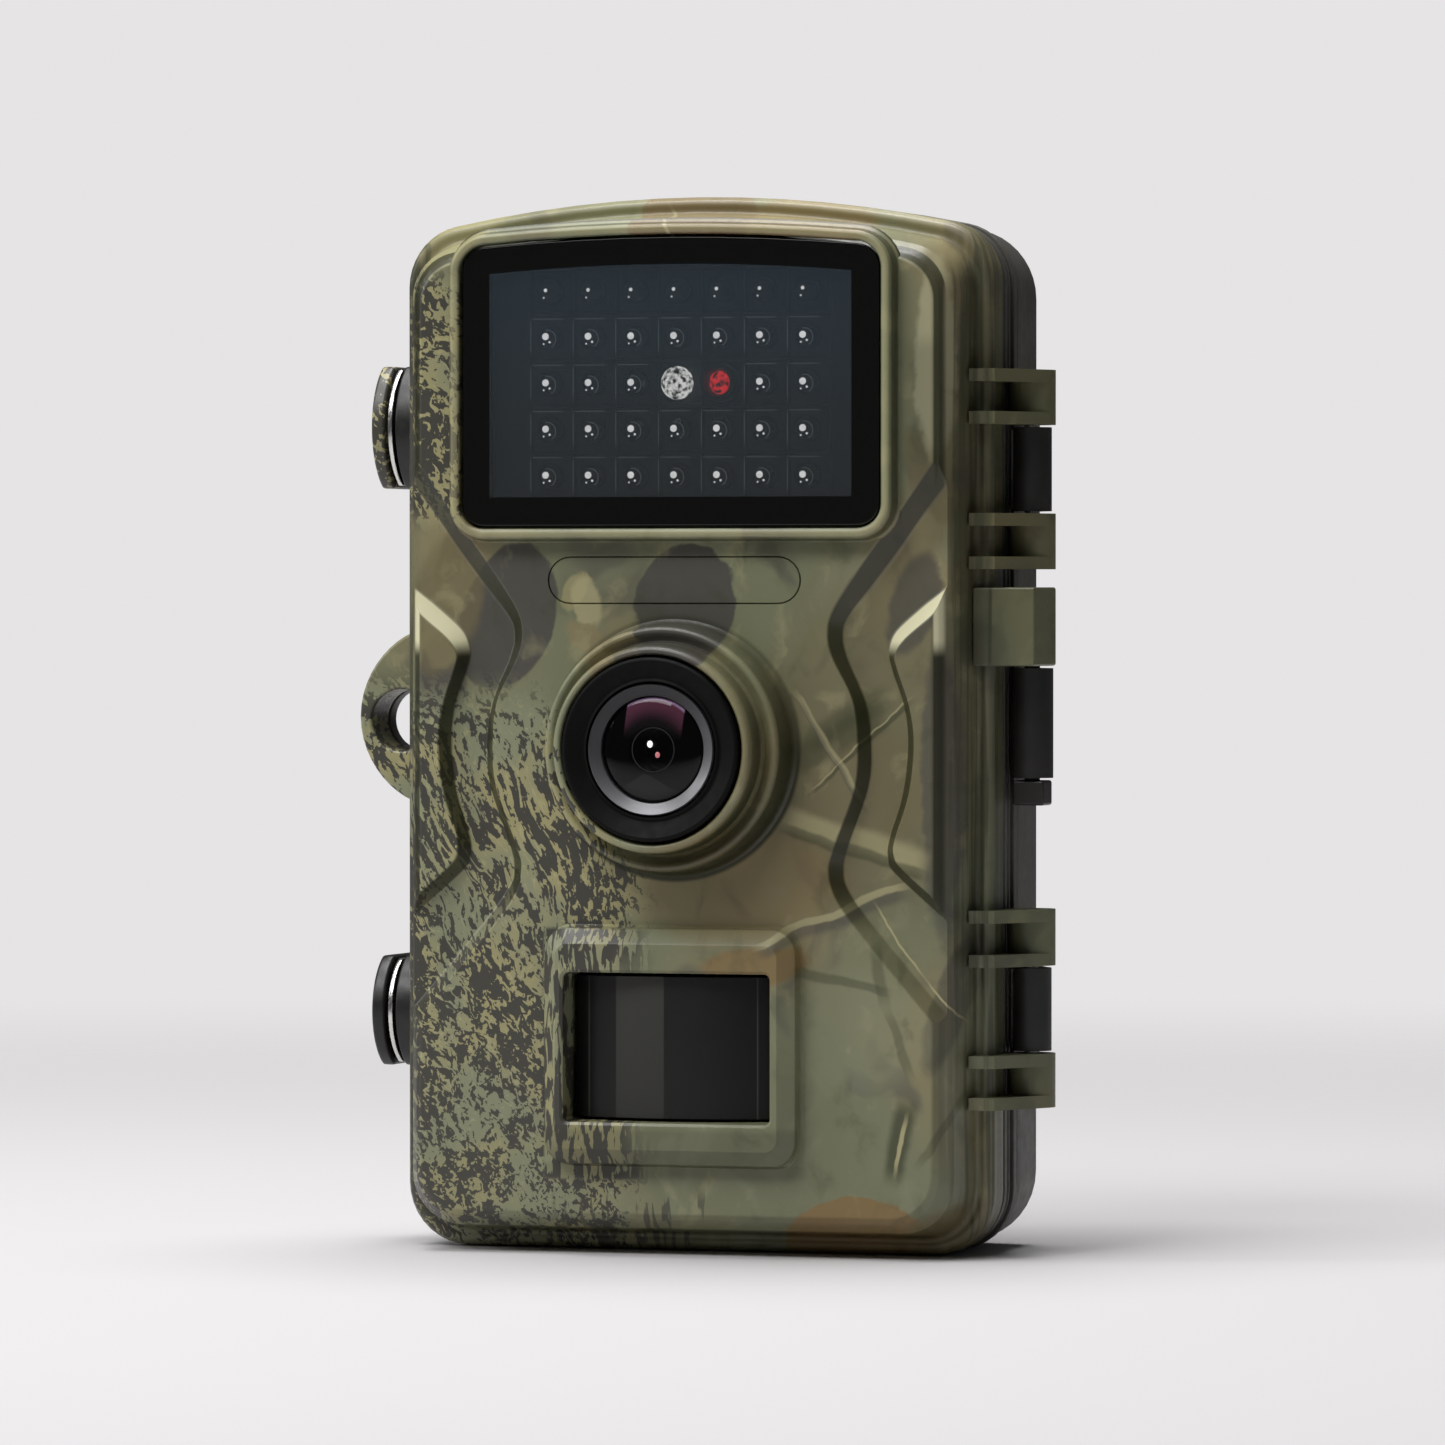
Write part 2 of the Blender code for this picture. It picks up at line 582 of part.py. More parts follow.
def strap_bracket():
    """A plate on the back with two upright bars, which the tree strap passes under."""
    plate = rounded_box(-22.0, 22.0, BRACKET_Z[0], BRACKET_Z[1], 3.0)
    bracket = piece("strap_bracket", prism(plate, *BRACKET_PLATE), "charcoal plastic")
    for side in (-1, 1):
        near, far = sorted((side * BAR_X[0], side * BAR_X[1]))
        solid = rounded_box(near, far, BAR_Z[0], BAR_Z[1], 1.0, 2)
        join(bracket, prism(solid, BRACKET_PLATE[1] - 0.5, BAR_Y[1]))
        span = (BAR_Z[0] + POST, BAR_Z[1] - POST)
        cut(bracket, box((near - 1.0, far + 1.0), (BRACKET_PLATE[1], BAR_Y[0]), span))
    for name, z in zip(("lower", "upper"), bracket_screws()):
        cut(bracket, rod((0.0, z), 1.35, BRACKET_PLATE[0] - 0.5, BRACKET_PLATE[1] + 0.5, steps=12))
        head = BRACKET_PLATE[1] + GAP
        profile = [(1.0, BACK - 0.7), (1.0, head), (2.8, head), (2.8, head + 1.2), (2.0, head + 1.8)]
        piece(f"bracket_screw_{name}", turned(profile, (0.0, z), steps=14), "steel")


def base_fittings():
    insert = [(4.5, 0.2), (4.5, 8.0), (3.15, 8.0), (3.15, 0.2)]
    piece("tripod_insert", turned(insert, TRIPOD_AT, "z", 20, ring=True), "brass")
    socket = [(5.4, 3.3), (5.4, 11.0), (2.7, 11.0), (2.7, 3.3)]
    piece("power_socket", turned(socket, SOCKET_AT, "z", 16, ring=True), "black satin plastic")
    thick = PORT_Z[1] - PORT_Z[0]
    middle = PORT_Z[0] + thick / 2
    flap = [(PORT_Y[0], PORT_Z[0]), (PORT_Y[1], PORT_Z[0])]
    flap += arc((PORT_Y[1], middle), thick / 2, -60, 60, 4)
    flap += [(PORT_Y[1], PORT_Z[1]), (PORT_Y[0], PORT_Z[1])]
    piece("port_cover", prism(flap, PORT_X[0], PORT_X[1], "x"), "black rubber", "port_hinge")


def hinge_fittings():
    """Fixed barrels between the cover's brackets, their steel pins, and the lock pin with its housing."""
    barrels = {name: (spans[1][1] + GAP, spans[0][0] - GAP, BARREL) for name, spans in BRACKETS.items()}
    barrels["lock"] = (LOCK_Z[0], LOCK_Z[1], LOCK_RADIUS)
    for name, (low, high, radius) in barrels.items():
        label = "lock_pin_housing" if name == "lock" else f"hinge_barrel_{name}"
        barrel = piece(label, rod((HINGE_X, HINGE_Y), radius, low, high, "z", 20), "black gloss plastic")
        web = [(38.7, 12.2), (38.7, 15.5), (41.0, 15.5), (HINGE_X + radius * 0.8, HINGE_Y + 1.2)]
        web += [(HINGE_X - radius * 0.6, HINGE_Y + 0.6), (39.9, 10.6)]
        join(barrel, prism(web, low, high, "z"))
        cut(barrel, rod((HINGE_X, HINGE_Y), PIN_BORE, low - 1, high + 1, "z", 12))
    for name, spans in BRACKETS.items():
        pin = rod((HINGE_X, HINGE_Y), PIN, spans[1][0] + 0.4, spans[0][1] - 0.4, "z", 12)
        piece(f"hinge_pin_{name}", pin, "steel")
    shaft = rod((HINGE_X, HINGE_Y), PIN, LOCK_HEAD[1] - 0.5, LOCK_TOP, "z", 12)
    stem = piece("lock_pin", shaft, "black gloss plastic", "lock_slide")
    head = box((HINGE_X - 2.1, HINGE_X + 2.1), (HINGE_Y - 2.1, HINGE_Y + 2.1), LOCK_HEAD)
    join(stem, head)


def latch_outline(low, high, nose, back, inset=0.0):
    """A plate seen from the side: a bowed front edge, straight top, base and back."""
    half = (high - low) / 2 - inset
    radius = (half**2 + LATCH_BULGE**2) / (2 * LATCH_BULGE)
    swing = degrees(asin(half / radius))
    bow = arc((nose + radius, (low + high) / 2), radius, 180 + swing, 180 - swing, 8)
    return bow + [(back, high - inset), (back, low + inset)]


def latch(name):
    low, high = LATCH_Z[name]
    middle = (low + high) / 2
    pivot = LATCH_PIVOT
    catch = latch_outline(low, high, LATCH_NOSE + 0.4, FLANGE_DEPTH - 0.1)
    piece(f"latch_catch_{name}", prism(catch, *CATCH_X, "x"), "black satin plastic", "cover_hinge")
    block = piece(f"latch_base_{name}", box(CATCH_X, (12.2, 22.0), (low, high)), "black satin plastic")
    for start, end in ((low, middle - 3.4), (middle + 3.4, high)):
        join(block, rod(pivot, 1.5, start, end, "z", 14))
    cut(block, box((-43.6, -41.3), (18.4, 23.0), (middle - 3.4, middle + 3.4)))
    cut(block, rod(pivot, 0.95, low - 1, high + 1, "z", 12))
    plate = latch_outline(low, high, LATCH_NOSE, 18.6)
    lever = piece(f"latch_lever_{name}", prism(plate, *LATCH_X, "x"), "camouflage plastic", f"latch_{name}")
    join(lever, box((-45.4, -43.95), (17.0, pivot[1]), (middle - 3.0, middle + 3.0)))
    join(lever, rod(pivot, 1.5, middle - 3.0, middle + 3.0, "z", 14))
    cut(lever, rod(pivot, 0.95, middle - 4.0, middle + 4.0, "z", 12))
    piece(f"latch_pin_{name}", rod(pivot, 0.65, low + 0.2, high - 0.2, "z", 12), "steel")
    loop = latch_outline(low, high, LATCH_NOSE + 0.4, 16.6, 0.4)
    bail = piece(f"latch_bail_{name}", prism(loop, *BAIL_X, "x"), "steel", f"bail_{name}")
    cut(bail, box((-44.5, -42.0), (10.4, 14.6), (low + 2.4, high - 2.4)))


def ribbon():
    """A flat cable that loops from the tray to the inner cover beside the hinge."""
    outer = arc((33.4, 9.4), 2.2, -90, 90, 6)
    inner = arc((33.4, 9.4), 1.8, 90, -90, 6)
    strip = [(28.5, 7.2)] + outer + [(28.5, 11.6), (28.5, 11.2)] + inner + [(28.5, 7.6)]
    piece("hinge_ribbon", prism(strip, 52.0, 66.0, "z"), "orange film")


KEYS = {"up": (0, 1), "down": (0, -1), "left": (-1, 0), "right": (1, 0), "ok": (0, 0)}


def main():
    clear_scene()
    joint_axis("cover_hinge", HINGE_X, HINGE_Y, 0.0)
    joint_axis("lock_slide", HINGE_X, HINGE_Y, LOCK_HEAD[0])
    joint_axis("port_hinge", 0.0, PORT_Y[1], sum(PORT_Z) / 2)
    joint_axis("card_slide", CARD_AT[0], CARD_BACK, CARD_AT[1], "cover_hinge")
    joint_axis("switch_slide", SWITCH_AT[0], SWITCH_FRONT, SWITCH_AT[1], "cover_hinge")
    for name, (across, up) in KEYS.items():
        place = (KEY_CENTRE[0] + across * KEY_STEP, 8.0, KEY_CENTRE[1] + up * KEY_STEP)
        joint_axis(f"key_{name}_press", *place, "cover_hinge")
    for name, span in LATCH_Z.items():
        joint_axis(f"latch_{name}", *LATCH_PIVOT, span[0])
        joint_axis(f"bail_{name}", *BAIL_PIVOT, span[0], f"latch_{name}")
    front_shell()
    flash_unit()
    lens_unit()
    pir_unit()
    inner_side()
    rear_shell()
    battery_box()
    strap_bracket()
    base_fittings()
    hinge_fittings()
    for name in LATCH_Z:
        latch(name)
    ribbon()


main()
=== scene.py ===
from math import asin, cos, degrees, pi, radians, sin

import bmesh
import bpy
from mathutils import Matrix, Vector


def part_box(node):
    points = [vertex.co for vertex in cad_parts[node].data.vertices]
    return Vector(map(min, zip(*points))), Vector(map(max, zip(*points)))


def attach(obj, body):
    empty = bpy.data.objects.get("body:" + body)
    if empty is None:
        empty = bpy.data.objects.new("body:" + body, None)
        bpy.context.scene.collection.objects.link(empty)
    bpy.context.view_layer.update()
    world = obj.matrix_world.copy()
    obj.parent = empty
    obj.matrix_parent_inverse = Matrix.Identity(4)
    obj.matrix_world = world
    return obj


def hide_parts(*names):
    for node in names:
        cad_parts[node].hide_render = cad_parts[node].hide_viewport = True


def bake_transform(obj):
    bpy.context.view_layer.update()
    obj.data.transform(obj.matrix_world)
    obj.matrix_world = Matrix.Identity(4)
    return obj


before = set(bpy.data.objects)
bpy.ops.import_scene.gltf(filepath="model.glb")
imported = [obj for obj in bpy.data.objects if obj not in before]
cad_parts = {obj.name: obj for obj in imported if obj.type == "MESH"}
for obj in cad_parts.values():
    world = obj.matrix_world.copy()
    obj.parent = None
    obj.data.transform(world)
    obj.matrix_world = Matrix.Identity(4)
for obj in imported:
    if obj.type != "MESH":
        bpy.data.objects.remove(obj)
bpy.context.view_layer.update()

scene = bpy.context.scene
front, rear = "front_cover", "rear_half"

# Lengths are in millimetres about the camera's own middle, and home sets them in the frame
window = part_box("window_glass")
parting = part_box("rear_shell")[0][1]
partingAt = 10.1
middleX = (window[0][0] + window[1][0]) / 2
home = Matrix.Translation((middleX, parting - partingAt / 1000, 0.0)) @ Matrix.Scale(0.001, 4)

case = {"height": 135.0, "archDrop": 3.2, "flangeBack": 9.8, "panel": -9.5, "back": 27.0}
lensAt = (0.0, 64.5)
tripodAt = (10.0, 17.6)
coverScrews = ((-32.4, 9.0), (32.4, 9.0), (-32.4, 125.6), (32.4, 125.6))
bracketScrews = {"lower": 41.0, "upper": 93.0}
hinge = {"at": (42.4, 8.0), "knuckle": 3.0, "barrel": 2.5, "rib": 1.6, "bore": 1.3}
brackets = {"upper": ((105.7, 112.7), (87.3, 94.4)), "lower": ((36.8, 44.0), (18.7, 25.6))}
braces = {
    "depth": 1.9,
    # the upper edge and the floor edge of the inner slope, then of the outer slope, on the hinge side
    "innerTop": (
        (38.6, 106.6), (36.0, 103.8), (32.7, 99.1), (28.5, 93.3), (25.0, 88.6), (21.1, 82.6),
        (20.2, 79.4), (20.8, 76.2), (23.5, 70.9), (24.2, 66.0), (23.8, 59.6), (21.0, 52.0),
        (20.3, 49.1), (21.4, 45.3), (25.5, 40.0), (38.6, 24.8),
    ),
    "innerFloor": (
        (38.6, 101.4), (36.4, 98.2), (32.5, 93.3), (29.4, 89.0), (26.4, 85.2), (23.0, 81.2),
        (22.2, 79.0), (22.7, 76.2), (25.1, 70.4), (25.9, 65.0), (25.5, 59.6), (22.9, 52.2),
        (22.3, 49.0), (23.0, 46.6), (26.8, 41.5), (38.6, 28.0),
    ),
    "outerTop": (
        (38.6, 41.6), (36.3, 44.2), (30.6, 49.2), (29.3, 51.0), (29.4, 53.2), (31.2, 58.8),
        (31.9, 65.0), (31.3, 69.8), (29.7, 74.6), (29.4, 76.4), (30.8, 78.4), (34.3, 81.3),
        (36.2, 83.6), (38.6, 87.4),
    ),
    "outerFloor": (
        (38.6, 39.8), (35.6, 42.6), (28.7, 48.6), (27.7, 50.6), (27.8, 53.0), (29.6, 58.8),
        (30.3, 65.0), (29.8, 70.0), (28.2, 74.6), (27.8, 77.2), (28.7, 79.6), (32.0, 82.6),
        (36.2, 85.9), (38.6, 89.6),
    ),
}


def srgb(text):
    parts = [int(text[i:i + 2], 16) / 255 for i in (0, 2, 4)]
    return tuple(p / 12.92 if p <= 0.04045 else ((p + 0.055) / 1.055) ** 2.4 for p in parts) + (1.0,)


class Wire:
    # one socket, so that shader maths reads as plain expressions
    def __init__(self, finish, socket):
        self.finish = finish
        self.socket = socket

    def __add__(self, other):
        return self.finish.maths("ADD", self, other)

    def __sub__(self, other):
        return self.finish.maths("SUBTRACT", self, other)

    def __rsub__(self, other):
        return self.finish.maths("SUBTRACT", other, self)

    def __mul__(self, other):
        return self.finish.maths("MULTIPLY", self, other)

    __radd__ = __add__
    __rmul__ = __mul__


class Finish:
    def __init__(self, name, **constants):
        self.material = bpy.data.materials.new(name)
        self.material.use_nodes = True
        self.tree = self.material.node_tree
        self.shader = self.tree.nodes["Principled BSDF"]
        for label, value in constants.items():
            self.shader.inputs[label.replace("_", " ")].default_value = value

    def node(self, kind, settings=None, sockets=None):
        made = self.tree.nodes.new("ShaderNode" + kind)
        for label, value in (settings or {}).items():
            setattr(made, label, value)
        for label, value in (sockets or {}).items():
            self.feed(made.inputs[label], value)
        return made

    def feed(self, socket, value):
        if isinstance(value, Wire):
            self.tree.links.new(value.socket, socket)
        elif isinstance(value, bpy.types.NodeSocket):
            self.tree.links.new(value, socket)
        else:
            socket.default_value = value

    def maths(self, operation, *values):
        made = self.node("Math", {"operation": operation}, dict(enumerate(values)))
        return Wire(self, made.outputs[0])

    def between(self, value, low, high):
        made = self.node("MapRange", {"interpolation_type": "SMOOTHSTEP"},
                         {"Value": value, "From Min": low, "From Max": high})
        return Wire(self, made.outputs[0])

    def mix(self, share, one, two):
        made = self.node("Mix", {"data_type": "RGBA"}, {0: share, 6: one, 7: two})
        return Wire(self, made.outputs[2])

    def point(self, x, y, z):
        return Wire(self, self.node("CombineXYZ", None, {0: x, 1: y, 2: z}).outputs[0])

    def place(self):
        # object coordinates in millimetres
        coordinates = self.node("TexCoord").outputs["Object"]
        made = self.node("VectorMath", {"operation": "SCALE"}, {0: coordinates, "Scale": 1000.0})
        split = self.node("SeparateXYZ", None, {0: made.outputs[0]})
        return [Wire(self, split.outputs[i]) for i in range(3)]

    def noise(self, where, scale, detail=2.0, twist=0.0):
        made = self.node("TexNoise", None,
                         {"Vector": where, "Scale": scale, "Detail": detail, "Distortion": twist})
        return Wire(self, made.outputs["Fac"])

    def cells(self, where, scale, feature="F1", output="Color"):
        made = self.node("TexVoronoi", {"feature": feature}, {"Vector": where, "Scale": scale})
        return Wire(self, made.outputs[output])

    def bump(self, height, strength, distance=0.0001):
        made = self.node("Bump", None, {"Height": height, "Strength": strength, "Distance": distance})
        self.feed(self.shader.inputs["Normal"], made.outputs[0])

    def set(self, label, value):
        self.feed(self.shader.inputs[label], value)
        return self


# the printed camouflage: soft leaves and twigs on the hinge side, a torn bark stencil on the latch side
# shadow and sunlit are the colours of painted shade and painted highlights
camo = {
    "sage": srgb("74775C"), "paleSage": srgb("83866B"), "tan": srgb("857B5A"), "rust": srgb("7F6840"),
    "taupe": srgb("4A4842"), "olive": srgb("363A22"), "khaki": srgb("979169"), "charcoal": srgb("403E37"),
    "straw": srgb("ABA47C"), "brown": srgb("6A5336"), "umber": srgb("6E6447"), "shadow": srgb("22240F"),
    "sunlit": srgb("D6D2AE"),
}
twigs = (  # x, z of both ends, half width, colour, strength
    (13.2, 63.6, 26.0, 70.0, 1.8, "olive", 0.55),
    (12.0, 57.2, 32.0, 51.0, 1.35, "straw", 0.62),
    (12.0, 55.7, 32.0, 49.5, 0.8, "olive", 0.6),
    (15.6, 59.7, 29.8, 71.7, 0.4, "olive", 0.6),
    (15.9, 60.2, 29.8, 72.2, 0.14, "straw", 0.6),
    (15.0, 66.2, 27.0, 72.4, 1.5, "olive", 0.42),
    (14.0, 73.4, 23.4, 58.6, 0.42, "straw", 0.5),
    (14.6, 72.0, 23.8, 57.2, 0.3, "taupe", 0.45),
    (9.0, 40.2, 29.4, 47.6, 1.0, "taupe", 0.6),
    (9.0, 41.0, 29.4, 48.4, 0.55, "straw", 0.75),
    (24.4, 45.7, 31.3, 36.6, 0.14, "straw", 0.85),
    (31.3, 36.6, 36.4, 30.0, 0.14, "straw", 0.85),
    (14.0, 37.6, 27.0, 35.2, 0.7, "olive", 0.5),
    (25.0, 41.0, 26.4, 33.0, 0.9, "olive", 0.45),
    (26.4, 33.0, 30.0, 24.0, 0.7, "olive", 0.45),
    (29.4, 21.6, 27.0, 10.6, 1.25, "olive", 0.8),
    (29.2, 19.6, 27.4, 11.6, 0.3, "straw", 0.9),
    (30.0, 13.0, 37.0, 22.0, 0.6, "olive", 0.45),
    (-1.0, 128.2, -3.6, 134.0, 0.25, "straw", 0.9),
    (-29.2, 50.0, -27.6, 64.0, 0.32, "olive", 0.85),
    (31.0, 118.0, 34.0, 90.0, 2.2, "olive", 0.3),
)
leaves = (  # x, z, half length, half width, turn in degrees, colour, strength
    (24.0, 66.0, 17.0, 25.0, 0, "umber", 0.6),
    (23.0, 60.0, 11.0, 9.0, 20, "umber", 0.5),
    (6.0, 49.0, 17.0, 8.5, 0, "rust", 0.45),
    (9.0, 38.6, 7.5, 2.6, 5, "rust", 0.8),
    (-0.6, 84.4, 7.0, 6.6, 80, "taupe", 0.95),
    (-4.5, 77.2, 5.6, 3.4, 10, "taupe", 0.8),
    (-24.5, 82.5, 9.5, 6.2, 68, "taupe", 0.95),
    (-33.5, 74.0, 7.0, 3.4, 85, "taupe", 0.9),
    (-33.4, 79.0, 2.4, 3.0, 20, "khaki", 0.6),
    (-15.0, 86.0, 2.8, 1.6, 60, "khaki", 0.85),
    (-33.0, 84.0, 9.0, 5.0, 80, "umber", 0.7),
    (-13.4, 84.5, 3.6, 2.0, 100, "straw", 0.7),
    (-12.0, 78.6, 5.6, 2.0, -38, "tan", 0.9),
    (22.0, 2.0, 9.5, 6.6, 0, "rust", 0.93),
    (36.0, 3.0, 8.0, 4.4, 0, "umber", 0.8),
    (29.5, 84.0, 7.0, 3.4, 70, "taupe", 0.75),
    (33.4, 60.0, 20.0, 2.6, 90, "taupe", 0.7),
    (34.5, 33.0, 9.0, 2.6, 75, "charcoal", 0.6),
    (37.4, 100.0, 30.0, 2.6, 90, "olive", 0.5),
    (22.0, 30.0, 9.0, 12.0, 90, "paleSage", 0.5),
    (31.6, 100.0, 7.0, 2.6, -70, "umber", 0.6),
    (0.5, 132.4, 8.0, 4.4, 0, "brown", 0.95),
    (16.0, 132.0, 8.4, 3.2, 0, "rust", 0.75),
    (-31.0, 131.0, 8.0, 3.0, 35, "khaki", 0.7),
    (-31.0, 92.0, 7.0, 2.2, 60, "umber", 0.8),
    (32.6, 115.0, 13.0, 2.8, 90, "sunlit", 0.32),
)


def leafShapes(finish, colour, p, q):
    # soft leaves and their shade, each an ellipse
    for midX, midZ, length, width, turned, name, strength in leaves:
        along = (p - midX) * cos(radians(turned)) + (q - midZ) * sin(radians(turned))
        across = (q - midZ) * cos(radians(turned)) - (p - midX) * sin(radians(turned))
        reach = finish.maths("POWER", finish.maths("ABSOLUTE", along * (1 / length)), 2) \
            + finish.maths("POWER", finish.maths("ABSOLUTE", across * (1 / width)), 2)
        soft = 1.02 if strength > 0.9 else 0.35 if min(length, width) > 5 else 0.62
        colour = finish.mix(finish.between(reach, 1.15, soft) * strength, colour, camo[name])
    return colour


def twigLines(finish, colour, u, v, bend):
    for startX, startZ, endX, endZ, width, name, strength in twigs:
        way = Vector((endX - startX, endZ - startZ))
        half = way.length / 2
        way.normalize()
        along = (u - (startX + endX) / 2) * way.x + (v - (startZ + endZ) / 2) * way.y
        across = finish.maths("ABSOLUTE", (v - startZ) * way.x - (u - startX) * way.y + bend)
        reach = finish.between(finish.maths("ABSOLUTE", along), half + 0.8, half - 2.5)
        edge = width * (1.6 if width > 0.9 else 1.25)
        colour = finish.mix(finish.between(across, edge, width * 0.55) * reach * strength, colour, camo[name])
    return colour


def barkStencil(finish, colour, x, y, z, u, v, warpX, warpZ, fine):
    # torn flakes that lean down to the right, finer towards the base, broken up at its edge
    lean = radians(58)
    along = u * cos(lean) - v * sin(lean) + warpX * 0.45
    across = u * sin(lean) + v * cos(lean) + warpZ * 0.45
    size = finish.between(v, 70.0, 30.0) * 0.3 + 0.85
    grain = finish.point(along * 0.74 * size, across * size, y * 0.35)
    flakes = finish.noise(grain, 0.42, 2.0, 1.2)
    chips = finish.noise(grain, 0.95, 2.0, 1.5)
    specks = finish.noise(finish.point(along * 0.8, across, y * 0.35), 2.6, 1.0, 0.3)
    patchy = finish.noise(finish.point(u, v, 3.0), 0.09, 2.0)
    level = flakes * 0.56 + chips * 0.62 + (specks - 0.5) * 0.2 + (patchy - 0.5) * 0.3
    level = level - finish.between(u, -31.0, -39.0) * 0.05 + finish.between(v, 46.0, 60.0) * 0.02
    ragged = (finish.noise(finish.point(u, v, y * 0.25), 0.25, 3.0) - 0.5) * 8
    edge = finish.between(v, 50.0, 86.0) * -17.0 - 6.0 + ragged
    thin = finish.between(u, edge - 7.0, edge + 1.5)
    ink = finish.between(level + thin * 0.1, 0.6, 0.585)
    # upright streaks on the left of the sensor's frame
    grained = finish.noise(finish.point(x * 1.5, z * 0.3, y * 0.4), 0.9, 3.0, 0.5)
    upright = finish.between(x, -17.6, -17.2) * finish.between(z, 41.8, 41.2) * finish.between(z, 9.2, 9.8)
    ink = finish.mix(upright, ink, finish.between(grained, 0.535, 0.515))
    torn = finish.between(u, edge + 3.0, edge - 4.0) * finish.between(v, 76.0, 68.0)
    upper = finish.between(v, 92.0, 97.0) * finish.between(v, 128.0, 124.0)
    upper = finish.between(u + fine, -28.5, -31.0) * upper
    torn = finish.maths("MAXIMUM", torn, upper)
    tone = finish.mix(finish.between(patchy, 0.42, 0.62), camo["khaki"], camo["paleSage"])
    tone = finish.mix(finish.between(chips, 0.6, 0.72) * 0.5, tone, camo["straw"])
    tone = finish.mix(finish.between(v, 34.0, 6.0) * 0.3, tone, camo["sage"])
    return torn, finish.mix(torn, colour, finish.mix(ink, tone, camo["charcoal"]))


def grassStreaksAndPaintedLight(finish, colour, x, y, z, u, v):
    # dark grass along the foot, dark streaks and painted shade down the turned edges, painted light on the
    # top
    side = finish.maths("ABSOLUTE", x)
    grass = finish.noise(finish.point(u * 1.1, v * 0.16, 9.0), 0.8, 2.0, 0.6)
    grassy = finish.between(grass, 0.55, 0.60) * finish.between(v, 10.5, 7.5) * finish.between(u, 5.0, 1.0)
    colour = finish.mix(grassy * finish.between(u, -20.0, -15.0) * 0.75, colour, camo["charcoal"])
    streaks = finish.noise(finish.point(x * 1.6 + y * 1.6, z * 0.06, 4.0), 0.5, 2.0)
    # the chamfer and flange of the turned edges: streaked darker, and evenly darkened as painted shade
    edgeStreaksAndShade = finish.between(side, 34.5, 37.5) * finish.between(y, -9.4, -8.6) * finish.between(side, 39.7, 39.5)
    colour = finish.mix(edgeStreaksAndShade * finish.between(streaks, 0.46, 0.6) * 0.75, colour, camo["olive"])
    colour = finish.mix(edgeStreaksAndShade * 0.25, colour, camo["taupe"])
    # painted highlight: the top edge, which faces up, is painted lighter
    return finish.mix(finish.between(z, 129.0, 132.5) * 0.3, colour, camo["straw"])


def braceShadeAndHighlight(finish, colour, x, y, z):
    # painted shade on the braces' slopes, less where they face up, and a painted highlight on facets facing
    # the sky
    side = finish.maths("ABSOLUTE", x)
    top = case["panel"]
    depth = top + braces["depth"]
    slopeShade = finish.between(y, top + 0.04, top + 0.25) * finish.between(y, depth - 0.04, depth - 0.25)
    slopeShade = slopeShade * finish.between(side, 35.7, 35.1) * finish.between(z, 10.0, 16.0)
    # the upper facets that face the sky get a painted highlight
    raised = finish.between(z, 76.0, 78.5) * finish.between(z, 91.0, 89.0)
    raised = finish.between(side - z * 0.35, 0.6, 1.2) * raised
    # below z 40 the slopes face up and take less painted shade
    facing = finish.between(z, 40.0, 47.5)
    colour = finish.mix(slopeShade * (facing * 0.55 + 0.3), colour, camo["shadow"])
    return finish.mix(slopeShade * raised, colour, camo["sunlit"])


def frameShadeAndHighlights(finish, colour, x, y, z):
    # raised frames: painted shade on their walls and below them, painted highlights on their front rims
    side = finish.maths("ABSOLUTE", x)
    reach = finish.maths("SQRT", x * x + (z - lensAt[1]) * (z - lensAt[1]))
    # painted shade on the walls of the lens boss, heavier towards the bottom right
    under = finish.between(z - x * 0.5, 74.0, 50.0) * 0.45 + 0.4
    boss = finish.between(reach, 17.2, 16.6) * finish.between(reach, 12.9, 13.3)
    upperWall = finish.between(y, -18.4, -18.0) * finish.between(y, -15.2, -15.5)
    walls = finish.maths("MAXIMUM", finish.between(y, -14.6, -14.2), upperWall)
    colour = finish.mix(boss * walls * under, colour, camo["shadow"])
    # painted shade over the lower part of the boss
    below = finish.between(z - x * 0.25, 58.0, 50.5) * finish.between(y, -19.0, -18.8)
    colour = finish.mix(boss * below * 0.6, colour, camo["shadow"])
    # painted shade on the lower band of the sensor's frame
    sill = finish.between(z, 17.0, 15.6) * finish.between(z, 10.9, 11.3) * finish.between(side, 17.2, 16.8)
    colour = finish.mix(sill * finish.between(y, -10.4, -10.8) * 0.35, colour, camo["shadow"])
    # a painted shadow on the panel just below the sensor's frame
    foot = finish.between(z, 11.8, 11.4) * finish.between(z, 9.4, 10.4) * finish.between(side, 18.0, 17.0)
    colour = finish.mix(foot * finish.between(y, -9.45, -9.6) * 0.6, colour, camo["shadow"])
    # painted shade on the walls of the window's bezel
    windowHigh = finish.between(z, 88.4, 89.0)
    frames = windowHigh * finish.between(y, -9.5, -9.7) * finish.between(y, -11.7, -11.4)
    colour = finish.mix(frames * 0.6, colour, camo["shadow"])
    # painted highlights on the front rims of the boss and the bezel
    bossRim = boss * finish.between(y, -19.0, -19.2)
    rims = finish.maths("MAXIMUM", bossRim, finish.between(y, -11.9, -12.0) * windowHigh)
    colour = finish.mix(rims * 0.4, colour, camo["straw"])
    # darker beyond the flange's edge, on the hinge brackets and the lock block
    return finish.mix(finish.between(x, 38.6, 39.6) * 0.42, colour, camo["olive"])


